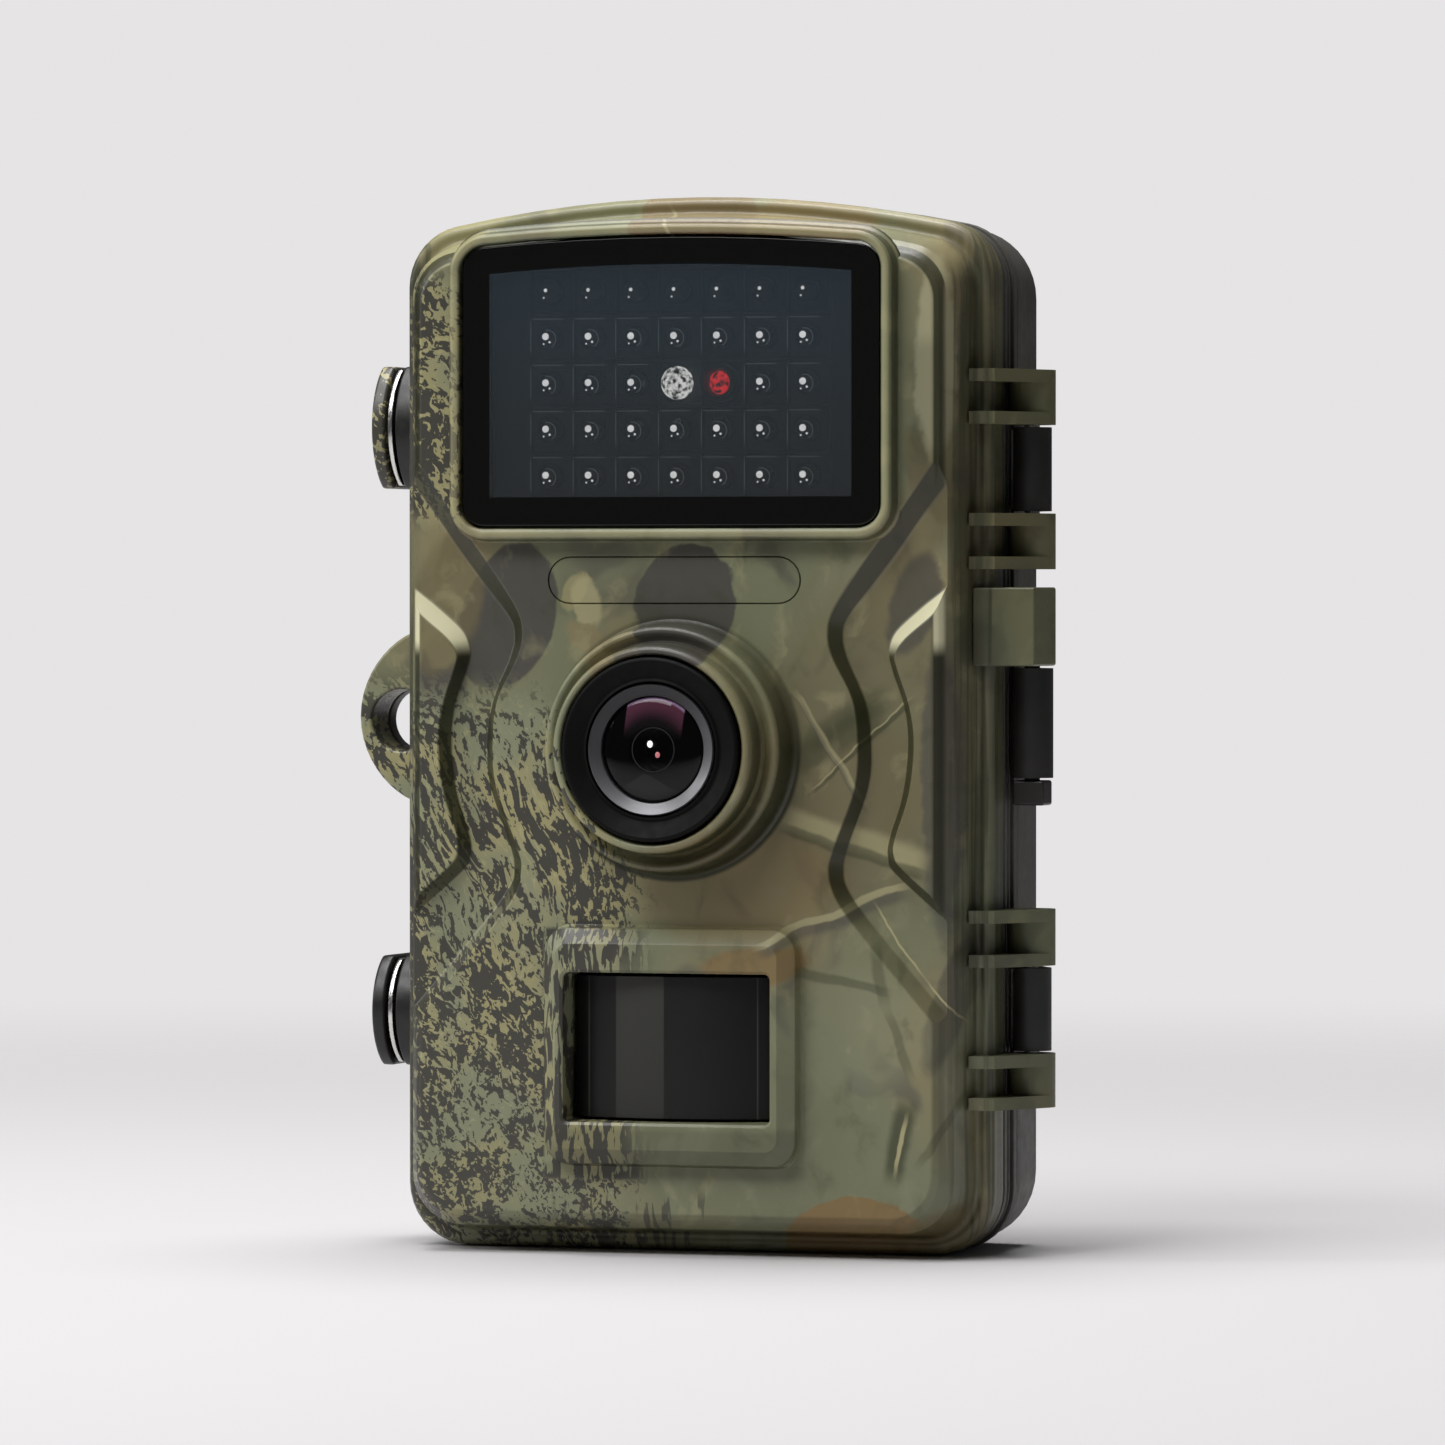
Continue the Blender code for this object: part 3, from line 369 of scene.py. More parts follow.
def camoPrint():
    finish = Finish("camouflage_print", IOR=1.5)
    x, y, z = finish.place()
    x, y = x - home.translation.x * 1000, y - home.translation.y * 1000
    # the print wraps round the case, so it shifts a little with depth
    u = x + y * 0.2
    v = z - y * 0.12
    flat = finish.point(u, v, y * 0.25)
    warpX = (finish.noise(flat, 0.06, 2.0) - 0.5) * 10
    warpZ = (finish.noise(finish.point(v, u, y * 0.3), 0.065, 2.0) - 0.5) * 10
    fine = (finish.noise(flat, 0.42, 3.0) - 0.5) * 3.0
    where = finish.point(u + warpX, v * 0.7 + warpZ, y * 0.3)
    broad = finish.noise(where, 0.035, 1.5)
    colour = finish.mix(finish.between(broad, 0.42, 0.64), camo["sage"], camo["tan"])
    cloud = finish.noise(where, 0.085, 3.0, 0.6)
    colour = finish.mix(finish.between(cloud, 0.54, 0.66) * 0.55, colour, camo["taupe"])
    colour = finish.mix(finish.between(cloud, 0.43, 0.33) * 0.5, colour, camo["paleSage"])
    p, q = u + warpX * 0.28 + fine * 0.5, v + warpZ * 0.28 + fine * 0.5
    colour = leafShapes(finish, colour, p, q)
    mottled = finish.noise(finish.point(p, q * 0.8, y * 0.3), 0.2, 4.0, 0.4)
    colour = finish.mix(finish.between(mottled, 0.55, 0.75) * 0.38, colour, camo["olive"])
    colour = finish.mix(finish.between(mottled, 0.42, 0.28) * 0.3, colour, camo["straw"])
    bend = (finish.noise(flat, 0.12, 3.0) - 0.5) * 2.2
    colour = twigLines(finish, colour, u, v, bend)
    torn, colour = barkStencil(finish, colour, x, y, z, u, v, warpX, warpZ, fine)
    colour = grassStreaksAndPaintedLight(finish, colour, x, y, z, u, v)
    colour = braceShadeAndHighlight(finish, colour, x, y, z)
    finish.set("Base Color", frameShadeAndHighlights(finish, colour, x, y, z))
    grainy = finish.noise(finish.point(x, y, z), 1.6, 3.0)
    finish.set("Roughness", finish.between(grainy, 0.2, 0.8) * 0.1 + 0.34)
    finish.bump(finish.noise(finish.point(x, y, z), 3.5, 2.0) + torn * 0.05, 0.12, 0.00006)
    return finish.material


def mouldedPlastic(name, colour, roughness, grain=2.5, relief=0.25, sheen=0.5):
    finish = Finish(name, IOR=1.48, Specular_IOR_Level=sheen)
    x, y, z = finish.place()
    where = finish.point(x, y, z)
    worn = finish.noise(where, 0.12, 4.0)
    black = (0.0, 0.0, 0.0, 1.0)
    finish.set("Base Color", finish.mix(finish.between(worn, 0.3, 0.75) * 0.35, srgb(colour), black))
    finish.set("Roughness", finish.between(finish.noise(where, 0.7, 3.0), 0.25, 0.75) * 0.12 + roughness)
    finish.bump(finish.noise(where, grain, 3.0), relief, 0.00008)
    return finish.material


def metal(name, colour, roughness, axis):
    # drawn or turned metal, with fine lines round or along the given axis
    finish = Finish(name, Metallic=1.0)
    x, y, z = finish.place()
    stretch = {"x": (0.05, 1.0, 1.0), "y": (1.0, 0.05, 1.0), "z": (1.0, 1.0, 0.05)}[axis]
    where = finish.point(x * stretch[0], y * stretch[1], z * stretch[2])
    lines = finish.noise(where, 9.0, 2.0)
    stain = finish.noise(finish.point(x, y, z), 0.5, 3.0)
    finish.set("Base Color", finish.mix(finish.between(stain, 0.45, 0.8) * 0.3, srgb(colour), srgb("4A4844")))
    finish.set("Roughness", finish.between(lines, 0.3, 0.7) * 0.12 + roughness)
    finish.bump(lines, 0.15, 0.00003)
    return finish.material


def clearOver(name, colour, alpha, roughness=0.03, tint=None):
    finish = Finish(name, IOR=1.5)
    x, y, z = finish.place()
    haze = finish.noise(finish.point(x, y, z), 0.25, 3.0)
    finish.set("Base Color", finish.mix(haze, srgb(colour), srgb(tint or colour)))
    finish.set("Roughness", finish.between(haze, 0.3, 0.8) * 0.03 + roughness)
    finish.shader.inputs["Alpha"].default_value = alpha
    return finish.material


def windowFinish():
    # a smoked pane: see-through in the middle, black behind its border
    finish = Finish("window_pane", IOR=1.5)
    x, y, z = finish.place()
    x = finish.maths("ABSOLUTE", x - home.translation.x * 1000)
    low, high = flash["clearZ"]
    arched = z + x * x * flash["sag"]
    clear = finish.between(x, flash["clearHalf"] + 0.06, flash["clearHalf"] - 0.06) \
        * finish.between(arched, high + 0.06, high - 0.06) * finish.between(z, low - 0.06, low + 0.06)
    smoke = finish.mix(finish.between(z, low, high), srgb("383C3E"), srgb("39434A"))
    finish.set("Base Color", finish.mix(clear, srgb("0C0C0B"), smoke))
    finish.set("Alpha", 1.0 - clear * 0.45)
    smudges = finish.noise(finish.point(x, y, z), 0.3, 2.0)
    finish.set("Roughness", finish.between(smudges, 0.3, 0.8) * 0.02 + 0.02)
    return finish.material


def board(name, colour):
    finish = Finish(name)
    x, y, z = finish.place()
    tracks = finish.cells(finish.point(x, y * 0.2, z), 0.35, "DISTANCE_TO_EDGE", "Distance")
    copper = finish.between(tracks, 0.06, 0.02)
    finish.set("Base Color", finish.mix(copper * 0.5, srgb(colour), srgb("8FA24A")))
    finish.set("Roughness", 0.45 - copper * 0.1)
    finish.bump(copper, 0.3, 0.00005)
    return finish.material


def cellWrap():
    finish = Finish("cell_wrap", Coat_Weight=0.5, Coat_Roughness=0.1)
    x, y, z = finish.place()
    band = finish.between(z, 113.6, 114.0)
    soft = finish.noise(finish.point(x, y, z), 0.3, 3.0)
    body = finish.mix(finish.between(soft, 0.3, 0.8) * 0.4, srgb("2B2F35"), srgb("202226"))
    tip = finish.between(z, 124.2, 124.4)
    body = finish.mix(band, body, srgb("B5772E"))
    finish.set("Base Color", finish.mix(tip, body, srgb("B9B8B2")))
    finish.set("Metallic", tip * 0.9)
    finish.set("Roughness", finish.between(soft, 0.2, 0.8) * 0.1 + 0.24)
    return finish.material


def crystal(name, colour, glow):
    # a frosted, faceted lens that glows; the light sensor gives off no light, so its glow is painted light
    finish = Finish(name, IOR=1.5, Emission_Strength=glow)
    x, y, z = finish.place()
    facets = finish.cells(finish.point(x, y, z), 1.9, "F1", "Distance")
    shine = finish.between(finish.noise(finish.point(x, y, z), 1.6, 3.0), 0.36, 0.6)
    tone = finish.mix(shine, srgb("101010"), srgb(colour))
    finish.set("Base Color", tone)
    finish.set("Emission Color", tone)
    finish.set("Roughness", facets * 0.3 + 0.1)
    finish.bump(facets, 0.8, 0.0003)
    return finish.material


def smokedPane():
    # smoked film with one paler facet left of the middle and a fine line near each side
    finish = Finish("smoked_window", IOR=1.45)
    x, y, z = finish.place()
    x = x - home.translation.x * 1000
    facet = finish.between(x, -7.5, -7.3) * finish.between(x, -0.7, -0.9)
    tone = finish.mix(finish.between(x, -13.0, -9.5), srgb("070706"), srgb("1B1B1A"))
    tone = finish.mix(finish.between(x, 1.0, 12.5), tone, srgb("0D0D0C"))
    tone = finish.mix(facet * (finish.between(z, 14.0, 34.0) * 0.4 + 0.6), tone, srgb("393936"))
    for place in (-11.3, 11.2):
        line = finish.between(finish.maths("ABSOLUTE", x - place), 0.14, 0.05)
        tone = finish.mix(line * 0.5, tone, srgb("4A4A46"))
    finish.set("Base Color", tone)
    haze = finish.noise(finish.point(x, y, z), 0.5, 2.0)
    finish.set("Roughness", finish.between(haze, 0.3, 0.8) * 0.06 + 0.3)
    finish.shader.inputs["Specular IOR Level"].default_value = 0.3
    return finish.material


def paintedGlow(name, colour, glow):
    # a painted reflection: a small bright dot that glows, a little uneven
    finish = Finish(name, Roughness=0.3, Emission_Strength=glow)
    x, y, z = finish.place()
    tone = finish.mix(finish.noise(finish.point(x, y, z), 1.2, 2.0) * 0.5, srgb(colour), srgb("6A6C6E"))
    finish.set("Base Color", tone)
    finish.set("Emission Color", tone)
    return finish.material


def bevelRing():
    # a satin grey ring, dark above and bright below, as its slope turns from the light
    finish = Finish("turned_ring", Metallic=0.35)
    x, y, z = finish.place()
    lines = finish.noise(finish.point(x * 0.2, y * 8.0, z * 0.2), 2.0, 2.0)
    tone = finish.mix(finish.between(z - x * 0.25, 71.0, 57.0), srgb("2C2B2D"), srgb("77777A"))
    finish.set("Base Color", finish.mix(lines * 0.2, tone, srgb("2A2A2C")))
    finish.set("Roughness", finish.between(lines, 0.3, 0.7) * 0.1 + 0.34)
    finish.bump(lines, 0.1, 0.00003)
    return finish.material


def lensGlassReflections():
    # black glass with painted reflections: a magenta fan above the pupil with a pale edge, and a faint grey
    # one below it
    finish = Finish("lens_glass", IOR=1.5)
    x, y, z = finish.place()
    x = x - home.translation.x * 1000
    z = z - lensAt[1]
    reach = finish.maths("SQRT", x * x + z * z)
    around = finish.maths("ABSOLUTE", x * 1.05 - z * 0.09)
    inFan = finish.between(around, 4.1, 3.9) * finish.between(z, 1.0, 3.2)
    warm = finish.between(reach, 3.4, 6.4)
    fan = finish.mix(warm, srgb("141213"), srgb("54303F"))
    # a pale painted highlight along the top of the fan's rim
    edge = finish.between(reach, 6.15, 6.45) * finish.between(z, 3.6, 4.4)
    fan = finish.mix(edge * 0.7, fan, srgb("A890B0"))
    # a faint grey painted reflection below the pupil
    lower = finish.between(z + finish.maths("ABSOLUTE", x + 0.8) * 0.62, -2.8, -3.0)
    lower = lower * finish.between(reach, 6.6, 5.4)
    tone = finish.mix(lower * 0.7, srgb("040404"), srgb("222224"))
    tone = finish.mix(inFan, tone, fan)
    finish.set("Base Color", tone)
    clear = finish.between(reach, 3.3, 2.7)
    finish.set("Alpha", 0.97 - clear * 0.35)
    smudges = finish.noise(finish.point(x, y, z), 0.4, 2.0)
    finish.set("Roughness", finish.between(smudges, 0.3, 0.8) * 0.02 + 0.02)
    finish.shader.inputs["Specular IOR Level"].default_value = 0.25
    return finish.material


flash = {"half": 27.75, "z": (92.8, 129.5), "clearHalf": 24.1, "clearZ": (96.5, 126.0), "sag": 0.0018,
         "columns": 7, "rows": 5, "pitch": (5.72, 5.9), "middle": 111.0, "dome": 1.7, "base": -6.9}

finishes = {
    "camo": camoPrint(),
    "charcoal": mouldedPlastic("charcoal_case", "504E49", 0.42),
    "satin": mouldedPlastic("black_satin", "1C1B1A", 0.34, 3.5, 0.15),
    "gloss": mouldedPlastic("black_gloss", "232220", 0.36, 2.0, 0.06),
    "ringBlack": mouldedPlastic("lens_ring_black", "0A0A09", 0.5, 4.0, 0.05, 0.12),
    # pale plastic for the painted highlight rods beside the hinge barrels
    "edge": mouldedPlastic("edge_highlight_rod", "D8D8D4", 0.3, 4.0, 0.05),
    "rubber": mouldedPlastic("black_rubber", "1A1A1A", 0.62, 4.0, 0.35),
    "pir": smokedPane(),
    "steel": metal("bright_steel", "D8D8D4", 0.20, "z"),
    "ring": bevelRing(),
    "brass": metal("turned_brass", "C29A55", 0.26, "z"),
    "window": windowFinish(),
    "lens": lensGlassReflections(),
    "coated": metal("coated_element", "5A2A48", 0.10, "y"),
    "dark": mouldedPlastic("lens_inside", "070707", 0.30, 4.0, 0.05),
    "darkRing": metal("pupil_edge", "4A4A4C", 0.3, "y"),
    "led": clearOver("led_dome", "15181A", 1.0, 0.06, "0C0E10"),
    # painted highlights and reflections that glow: dots on the LED domes, on the lens, and lines along the
    # cell rims
    "domeHighlight": paintedGlow("led_dome_highlight", "FFFFFF", 3.0),
    "pinkGlint": paintedGlow("lens_pink_glint", "C06068", 0.5),
    "glintWhite": paintedGlow("lens_glint", "F2F2F2", 0.8),
    "glint": paintedGlow("led_glint", "8A9298", 0.45),
    # the light sensor's glow is painted light
    "white": crystal("light_sensor_lens", "F4F4F0", 2.6),
    "red": crystal("status_lens", "E82A2E", 2.4),
    "board": board("circuit_board", "1E5A3C"),
    "display": clearOver("display_pane", "101215", 1.0, 0.05, "14181C"),
    "cell": cellWrap(),
    "film": clearOver("ribbon_film", "B4701E", 1.0, 0.25, "8A5216"),
}
print("finishes made")


def arc(middle, radius, start, end, steps):
    turns = [radians(start + (end - start) * i / steps) for i in range(steps + 1)]
    return [(middle[0] + radius * cos(t), middle[1] + radius * sin(t)) for t in turns]


def caseOutline(half, inset, radius, steps=9):
    high = case["height"] - inset
    leanOver = degrees(2 * case["archDrop"] / (half - radius))
    right = arc((half - radius, inset + radius), radius, -90, 0, steps)
    right += arc((half - radius, high - case["archDrop"] - radius), radius, 0, 90 - leanOver, steps)
    startX, startZ = right[-1]
    for share in (5 / 6, 4 / 6, 3 / 6, 2 / 6, 1 / 6):
        right.append((startX * share, high - (high - startZ) * share ** 2))
    return right + [(0.0, high)] + [(-x, z) for x, z in reversed(right)]


def boxOutline(left, right, low, high, radius, sag=0.0, steps=6, arch=8):
    # a rounded box, whose top edge may be bowed
    middle = (left + right) / 2
    points = arc((right - radius, low + radius), radius, -90, 0, steps)
    points += arc((right - radius, high - radius), radius, 0, 90, steps)
    for i in range(1, arch):
        points.append((right - radius + (left - right + 2 * radius) * i / arch, high))
    points += arc((left + radius, high - radius), radius, 90, 180, steps)
    points += arc((left + radius, low + radius), radius, 180, 270, steps)
    span = high - low
    return [(x, z - sag * (x - middle) ** 2 * max(0.0, (z - low) / span)) for x, z in points]


def smoothPath(points, steps=5):
    # a Catmull-Rom curve through a few points
    path = [points[0]] + list(points) + [points[-1]]
    out = []
    for a, b, c, d in zip(path, path[1:], path[2:], path[3:]):
        for i in range(steps):
            t = i / steps
            point = []
            for k in (0, 1):
                bend = 2 * a[k] - 5 * b[k] + 4 * c[k] - d[k]
                twist = 3 * b[k] - a[k] - 3 * c[k] + d[k]
                point.append(0.5 * (2 * b[k] + (c[k] - a[k]) * t + bend * t * t + twist * t ** 3))
            out.append(tuple(point))
    return out + [points[-1]]


def spot(axis, place, first, second):
    return {"x": (place, first, second), "y": (first, place, second), "z": (first, second, place)}[axis]


def stack(loops, axis="y", ring=False):
    # extrudes the first outline to each next one in turn, then caps both ends or closes the last to the first
    shape = bmesh.new()
    place, outline = loops[0]
    points = [shape.verts.new(spot(axis, place, *at)) for at in outline]
    first = [shape.edges.new((points[i - 1], points[i])) for i in range(len(points))]
    edges = first
    for place, outline in loops[1:] + (loops[:1] if ring else []):
        number = {point: i for i, point in enumerate(points)}
        made = bmesh.ops.extrude_edge_only(shape, edges=edges)["geom"]
        edges = [item for item in made if isinstance(item, bmesh.types.BMEdge)]
        for point in (item for item in made if isinstance(item, bmesh.types.BMVert)):
            before = next(e.other_vert(point) for e in point.link_edges if e.other_vert(point) in number)
            points[number[before]] = point
            point.co = spot(axis, place, *outline[number[before]])
    if ring:
        bmesh.ops.remove_doubles(shape, verts=shape.verts, dist=0.00001)
    else:
        bmesh.ops.edgeloop_fill(shape, edges=first)
        bmesh.ops.edgeloop_fill(shape, edges=edges)
    bmesh.ops.recalc_face_normals(shape, faces=shape.faces)
    return shape


def slab(outline, start, end, axis="y"):
    return stack([(start, outline), (end, outline)], axis)


def block(x, y, z):
    return slab([(x[0], z[0]), (x[1], z[0]), (x[1], z[1]), (x[0], z[1])], y[0], y[1])


def turn(profile, middle, steps=72, axis="y", closed=False):
    # spins a profile of (radius, place) points; a closed one is a ring
    shape = bmesh.new()
    points = [shape.verts.new(spot(axis, place, middle[0] + radius, middle[1])) for radius, place in profile]
    edges = [shape.edges.new(pair) for pair in zip(points, points[1:])]
    if closed:
        edges.append(shape.edges.new((points[-1], points[0])))
    direction = {"x": (1, 0, 0), "y": (0, 1, 0), "z": (0, 0, 1)}[axis]
    bmesh.ops.spin(shape, geom=points + edges, cent=spot(axis, 0.0, *middle), axis=direction, angle=2 * pi,
                   steps=steps, use_merge=True)
    bmesh.ops.remove_doubles(shape, verts=shape.verts, dist=0.0005)
    bmesh.ops.holes_fill(shape, edges=[e for e in shape.edges if e.is_boundary], sides=steps + 1)
    bmesh.ops.recalc_face_normals(shape, faces=shape.faces)
    return shape


def soften(shape, width, limit=24, segments=3):
    sharp = [e for e in shape.edges if e.is_manifold and e.calc_face_angle(0.0) > radians(limit)]
    bmesh.ops.bevel(shape, geom=sharp, offset=width, offset_type="OFFSET", segments=segments, affect="EDGES",
                    profile=0.5, material=-1, clamp_overlap=True)
    return shape


def addTo(shape, *others):
    for other in others:
        mesh = bpy.data.meshes.new("part")
        other.to_mesh(mesh)
        shape.from_mesh(mesh)
        bpy.data.meshes.remove(mesh)
        other.free()
    return shape


def carve(shape, others, operation="DIFFERENCE"):
    objects = []
    for each in [shape] + others:
        mesh = bpy.data.meshes.new("carve")
        each.to_mesh(mesh)
        each.free()
        objects.append(bpy.data.objects.new("carve", mesh))
        scene.collection.objects.link(objects[-1])
    for tool in objects[1:]:
        modifier = objects[0].modifiers.new("carve", "BOOLEAN")
        modifier.object = tool
        modifier.operation = operation
        modifier.solver = "EXACT"
    carved = bmesh.new()
    carved.from_object(objects[0], bpy.context.evaluated_depsgraph_get())
    for item in objects:
        mesh = item.data
        bpy.data.objects.remove(item)
        bpy.data.meshes.remove(mesh)
    return carved


def piece(name, shape, finish, body, nodes=(), crease=32):
    bmesh.ops.transform(shape, matrix=home, verts=shape.verts)
    mesh = bpy.data.meshes.new(name)
    shape.to_mesh(mesh)
    shape.free()
    mesh.materials.append(finishes[finish])
    mesh.shade_smooth()
    mesh.set_sharp_from_angle(angle=radians(crease))
    item = bpy.data.objects.new(name, mesh)
    scene.collection.objects.link(item)
    weighted = item.modifiers.new("even shading", "WEIGHTED_NORMAL")
    weighted.keep_sharp = True
    if body:
        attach(item, body)
    if nodes:
        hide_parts(*([nodes] if isinstance(nodes, str) else nodes))
    return item


def braceCutter(side):
    top = smoothPath(braces["innerTop"]) + smoothPath(braces["outerTop"])
    floor = smoothPath(braces["innerFloor"]) + smoothPath(braces["outerFloor"])
    loops = []
    for share, sink in ((-0.25, -0.4), (0.0, -0.02), (0.12, 0.08), (0.24, 0.24), (0.86, 0.94), (1.0, 1.0)):
        outline = [(side * (a[0] + (b[0] - a[0]) * share), a[1] + (b[1] - a[1]) * share)
                   for a, b in zip(top, floor)]
        loops.append((case["panel"] + sink * braces["depth"], outline))
    return stack(loops)


def frontShell():
    # from the cavity's floor out to the flange and round to the panel
    inner = [
        (-6.9, caseOutline(32.6, 6.5, 4.5)), (-1.0, caseOutline(34.9, 4.6, 5.0)),
        (1.4, caseOutline(37.4, 2.0, 6.0)),
    ]
    outer = [
        (5.6, caseOutline(37.4, 2.0, 6.0)), (5.6, caseOutline(39.0, 0.4, 7.7)),
        (5.2, caseOutline(39.4, 0.0, 8.0)), (1.2, caseOutline(39.4, 0.0, 8.0)),
        (0.15, caseOutline(38.9, 0.5, 7.6)), (0.0, caseOutline(38.3, 1.1, 7.3)),
        (0.25, caseOutline(37.7, 1.7, 7.1)), (0.1, caseOutline(37.3, 2.1, 7.0)),
        (-0.6, caseOutline(37.0, 2.4, 6.9)), (-6.6, caseOutline(36.2, 3.2, 6.6)),
        (-8.9, caseOutline(34.9, 4.4, 6.0)), (case["panel"], caseOutline(34.1, 5.2, 5.6)),
    ]
    shell = soften(stack(inner + outer), 0.28, 18)
    label = [boxOutline(-17.05 + s, 17.05 - s, 82.7 + s, 89.1 - s, 3.2 - s) for s in (0.0, 0.22, 0.55)]
    groove = stack([(-9.9, label[0]), (-9.2, label[1]), (-9.9, label[2])], ring=True)
    openings = [
        slab(boxOutline(-24.9, 24.9, 95.6, 126.9, 1.0), -14.0, -5.0),
        turn([(9.4, -12.0), (9.4, -6.0)], lensAt),
        slab(boxOutline(-13.7, 13.7, 17.05, 35.95, 0.8), -14.0, -6.0),
    ]
    shell = carve(shell, openings + [groove, braceCutter(1), braceCutter(-1)])
    piece("front_case", shell, "camo", front, "front_shell", 28)
    rim = [
        (5.7, caseOutline(37.3, 2.1, 6.0)), (case["flangeBack"], caseOutline(37.3, 2.1, 6.0)),
        (case["flangeBack"], caseOutline(39.0, 0.4, 7.7)), (8.6, caseOutline(39.2, 0.2, 7.8)),
        (8.4, caseOutline(38.7, 0.7, 7.5)), (7.9, caseOutline(38.7, 0.7, 7.5)),
        (7.7, caseOutline(39.2, 0.2, 7.8)), (6.6, caseOutline(39.2, 0.2, 7.8)),
        (6.4, caseOutline(38.6, 0.8, 7.4)), (5.7, caseOutline(38.6, 0.8, 7.4)),
    ]
    rim = soften(stack(rim, ring=True), 0.1, 30, 2)
    piece("front_rim", rim, "charcoal", front, crease=30)


def bezelFrame():
    loops = []
    low, high = flash["z"]
    section = (  # place, growth past the window, corner radius
        (-9.2, 2.45, 5.2), (-9.62, 1.95, 4.8), (-10.1, 1.75, 4.6), (-11.55, 1.7, 4.5), (-11.95, 1.45, 4.3),
        (-12.05, 1.05, 3.9), (-11.95, 0.55, 3.4), (-11.7, 0.34, 3.2), (-9.2, 0.3, 3.1),
    )
    for y, grow, radius in section:
        half = flash["half"] + grow
        loops.append((y, boxOutline(-half, half, low - grow, high + grow, radius, flash["sag"], 8)))
    piece("window_bezel", stack(loops, ring=True), "camo", front, crease=50)


pirOpening = {"half": 13.6, "z": (17.15, 35.85), "frameHalf": 16.8, "frameZ": (11.5, 41.7)}


def pirFrame():
    def outer(grow, radius):
        half = pirOpening["frameHalf"] + grow
        low, high = pirOpening["frameZ"]
        return boxOutline(-half, half, low - grow, high + grow, radius)

    def inner(grow):
        half = pirOpening["half"] + grow
        low, high = pirOpening["z"]
        return boxOutline(-half, half, low - grow, high + grow, 0.6 + grow)

    loops = [
        (-9.2, outer(0.7, 3.9)), (-9.62, outer(0.22, 3.4)), (-10.1, outer(0.0, 3.2)),
        (-11.5, outer(-0.1, 3.1)), (-11.75, outer(-0.3, 2.9)), (-12.95, outer(-1.75, 1.8)),
        (-13.15, outer(-2.05, 1.6)), (-13.15, inner(0.55)), (-12.85, inner(0.2)), (-9.2, inner(0.0)),
    ]
    piece("pir_frame", stack(loops, ring=True), "camo", front, crease=30)


def turnedPart(name, profile, steps, finish, node, crease, middle=lensAt):
    piece(name, turn(profile, middle, steps, closed=True), finish, front, node, crease)


def quarterCurve(radius, start, rise, steps):
    # from the rim to the middle of a domed lens
    turns = [radians(90 * i / steps) for i in range(1, steps + 1)]
    return [(radius * cos(t), start - rise * sin(t)) for t in turns]


def lensMount():
    # each profile runs round one ring, as (radius, place along the lens axis)
    boss = [
        (16.9, -9.3), (16.2, -9.62), (15.95, -10.1), (15.8, -10.9), (15.55, -14.6), (15.35, -15.0),
        (14.95, -15.15), (14.55, -14.95), (14.3, -14.5), (13.75, -14.35), (13.5, -14.6), (13.4, -15.2),
        (13.1, -18.6), (12.95, -19.05), (12.6, -19.3), (12.25, -19.25), (11.98, -18.95), (11.9, -12.0),
        (9.2, -12.0), (9.2, -9.3),
    ]
    turnedPart("lens_boss", boss, 96, "camo", (), 50)
    ring = [
        (11.7, -12.2), (11.7, -19.3), (11.6, -19.62), (11.35, -19.78), (11.1, -19.8), (9.3, -18.9),
        (9.05, -18.85), (8.8, -19.1), (8.6, -19.1), (8.5, -18.8), (8.5, -12.2),
    ]
    turnedPart("lens_front_ring", ring, 96, "ringBlack", "lens_ring", 50)
    bezel = [(8.3, -12.2), (8.3, -19.1), (8.2, -19.25), (8.05, -19.2), (6.85, -18.5), (6.78, -18.3),
             (6.75, -12.2)]
    turnedPart("lens_inner_ring", bezel, 96, "ring", "lens_bezel", 50)
    dome = [(6.7, -17.6)] + quarterCurve(6.7, -17.9, 1.1, 12) + [(0.0, -18.1), (3.4, -17.9), (6.2, -17.4)]
    turnedPart("lens_dome", dome, 72, "lens", "lens_glass", 60)
    edge = [(2.72, -18.8), (2.72, -18.98), (2.84, -18.98), (2.84, -18.8)]
    turnedPart("pupil_edge", edge, 60, "darkRing", (), 50, (0.3, lensAt[1]))
    cone = [(6.7, -16.3), (6.7, -16.0), (6.5, -15.9), (6.3, -16.2), (4.8, -14.8), (4.7, -14.5), (4.4, -14.5),
            (3.1, -13.4), (3.1, -13.1), (6.7, -12.6)]
    turnedPart("lens_cone", cone, 72, "dark", (), 40)
    seat = [(3.05, -13.3), (3.05, -14.0), (2.95, -14.15), (2.7, -14.15), (2.6, -14.0), (2.6, -12.7),
            (3.05, -12.7)]
    turnedPart("pupil_ring", seat, 60, "darkRing", (), 50)
    element = turn([(2.6, -12.6), (2.6, -12.9)] + quarterCurve(2.6, -12.9, 0.9, 8), lensAt, 48)
    piece("pupil_element", element, "coated", front, crease=60)
    # painted highlights on the lens: a white glint and a pink reflection, as small glowing dots
    sparks = (("lens_glint", -0.1, 0.7, 0.45, "glintWhite"), ("lens_pink_glint", 0.9, -0.65, 0.38, "pinkGlint"))
    for name, x, z, radius, finish in sparks:
        where = Matrix.Translation((x, -19.0, lensAt[1] + z)) @ Matrix.Diagonal((0.85, 0.25, 1.0, 1.0))
        spark = bmesh.new()
        bmesh.ops.create_icosphere(spark, subdivisions=3, radius=radius, matrix=where)
        piece(name, spark, finish, front, crease=60)


def arcBead(at, radius, start, end, thick, place, steps=14):
    # a thin bead along an arc on the front
    outer = arc(at, radius + thick, start, end, steps)
    inner = arc(at, radius - thick, end, start, steps)
    return slab(outer + inner, place, place + 0.1)


def flashWindow():
    low, high = flash["z"]
    outline = boxOutline(-flash["half"], flash["half"], low, high, 2.8, flash["sag"], 8)
    pane = soften(slab(outline, -11.4, -10.2), 0.18)
    piece("flash_window", pane, "window", front, "window_glass")


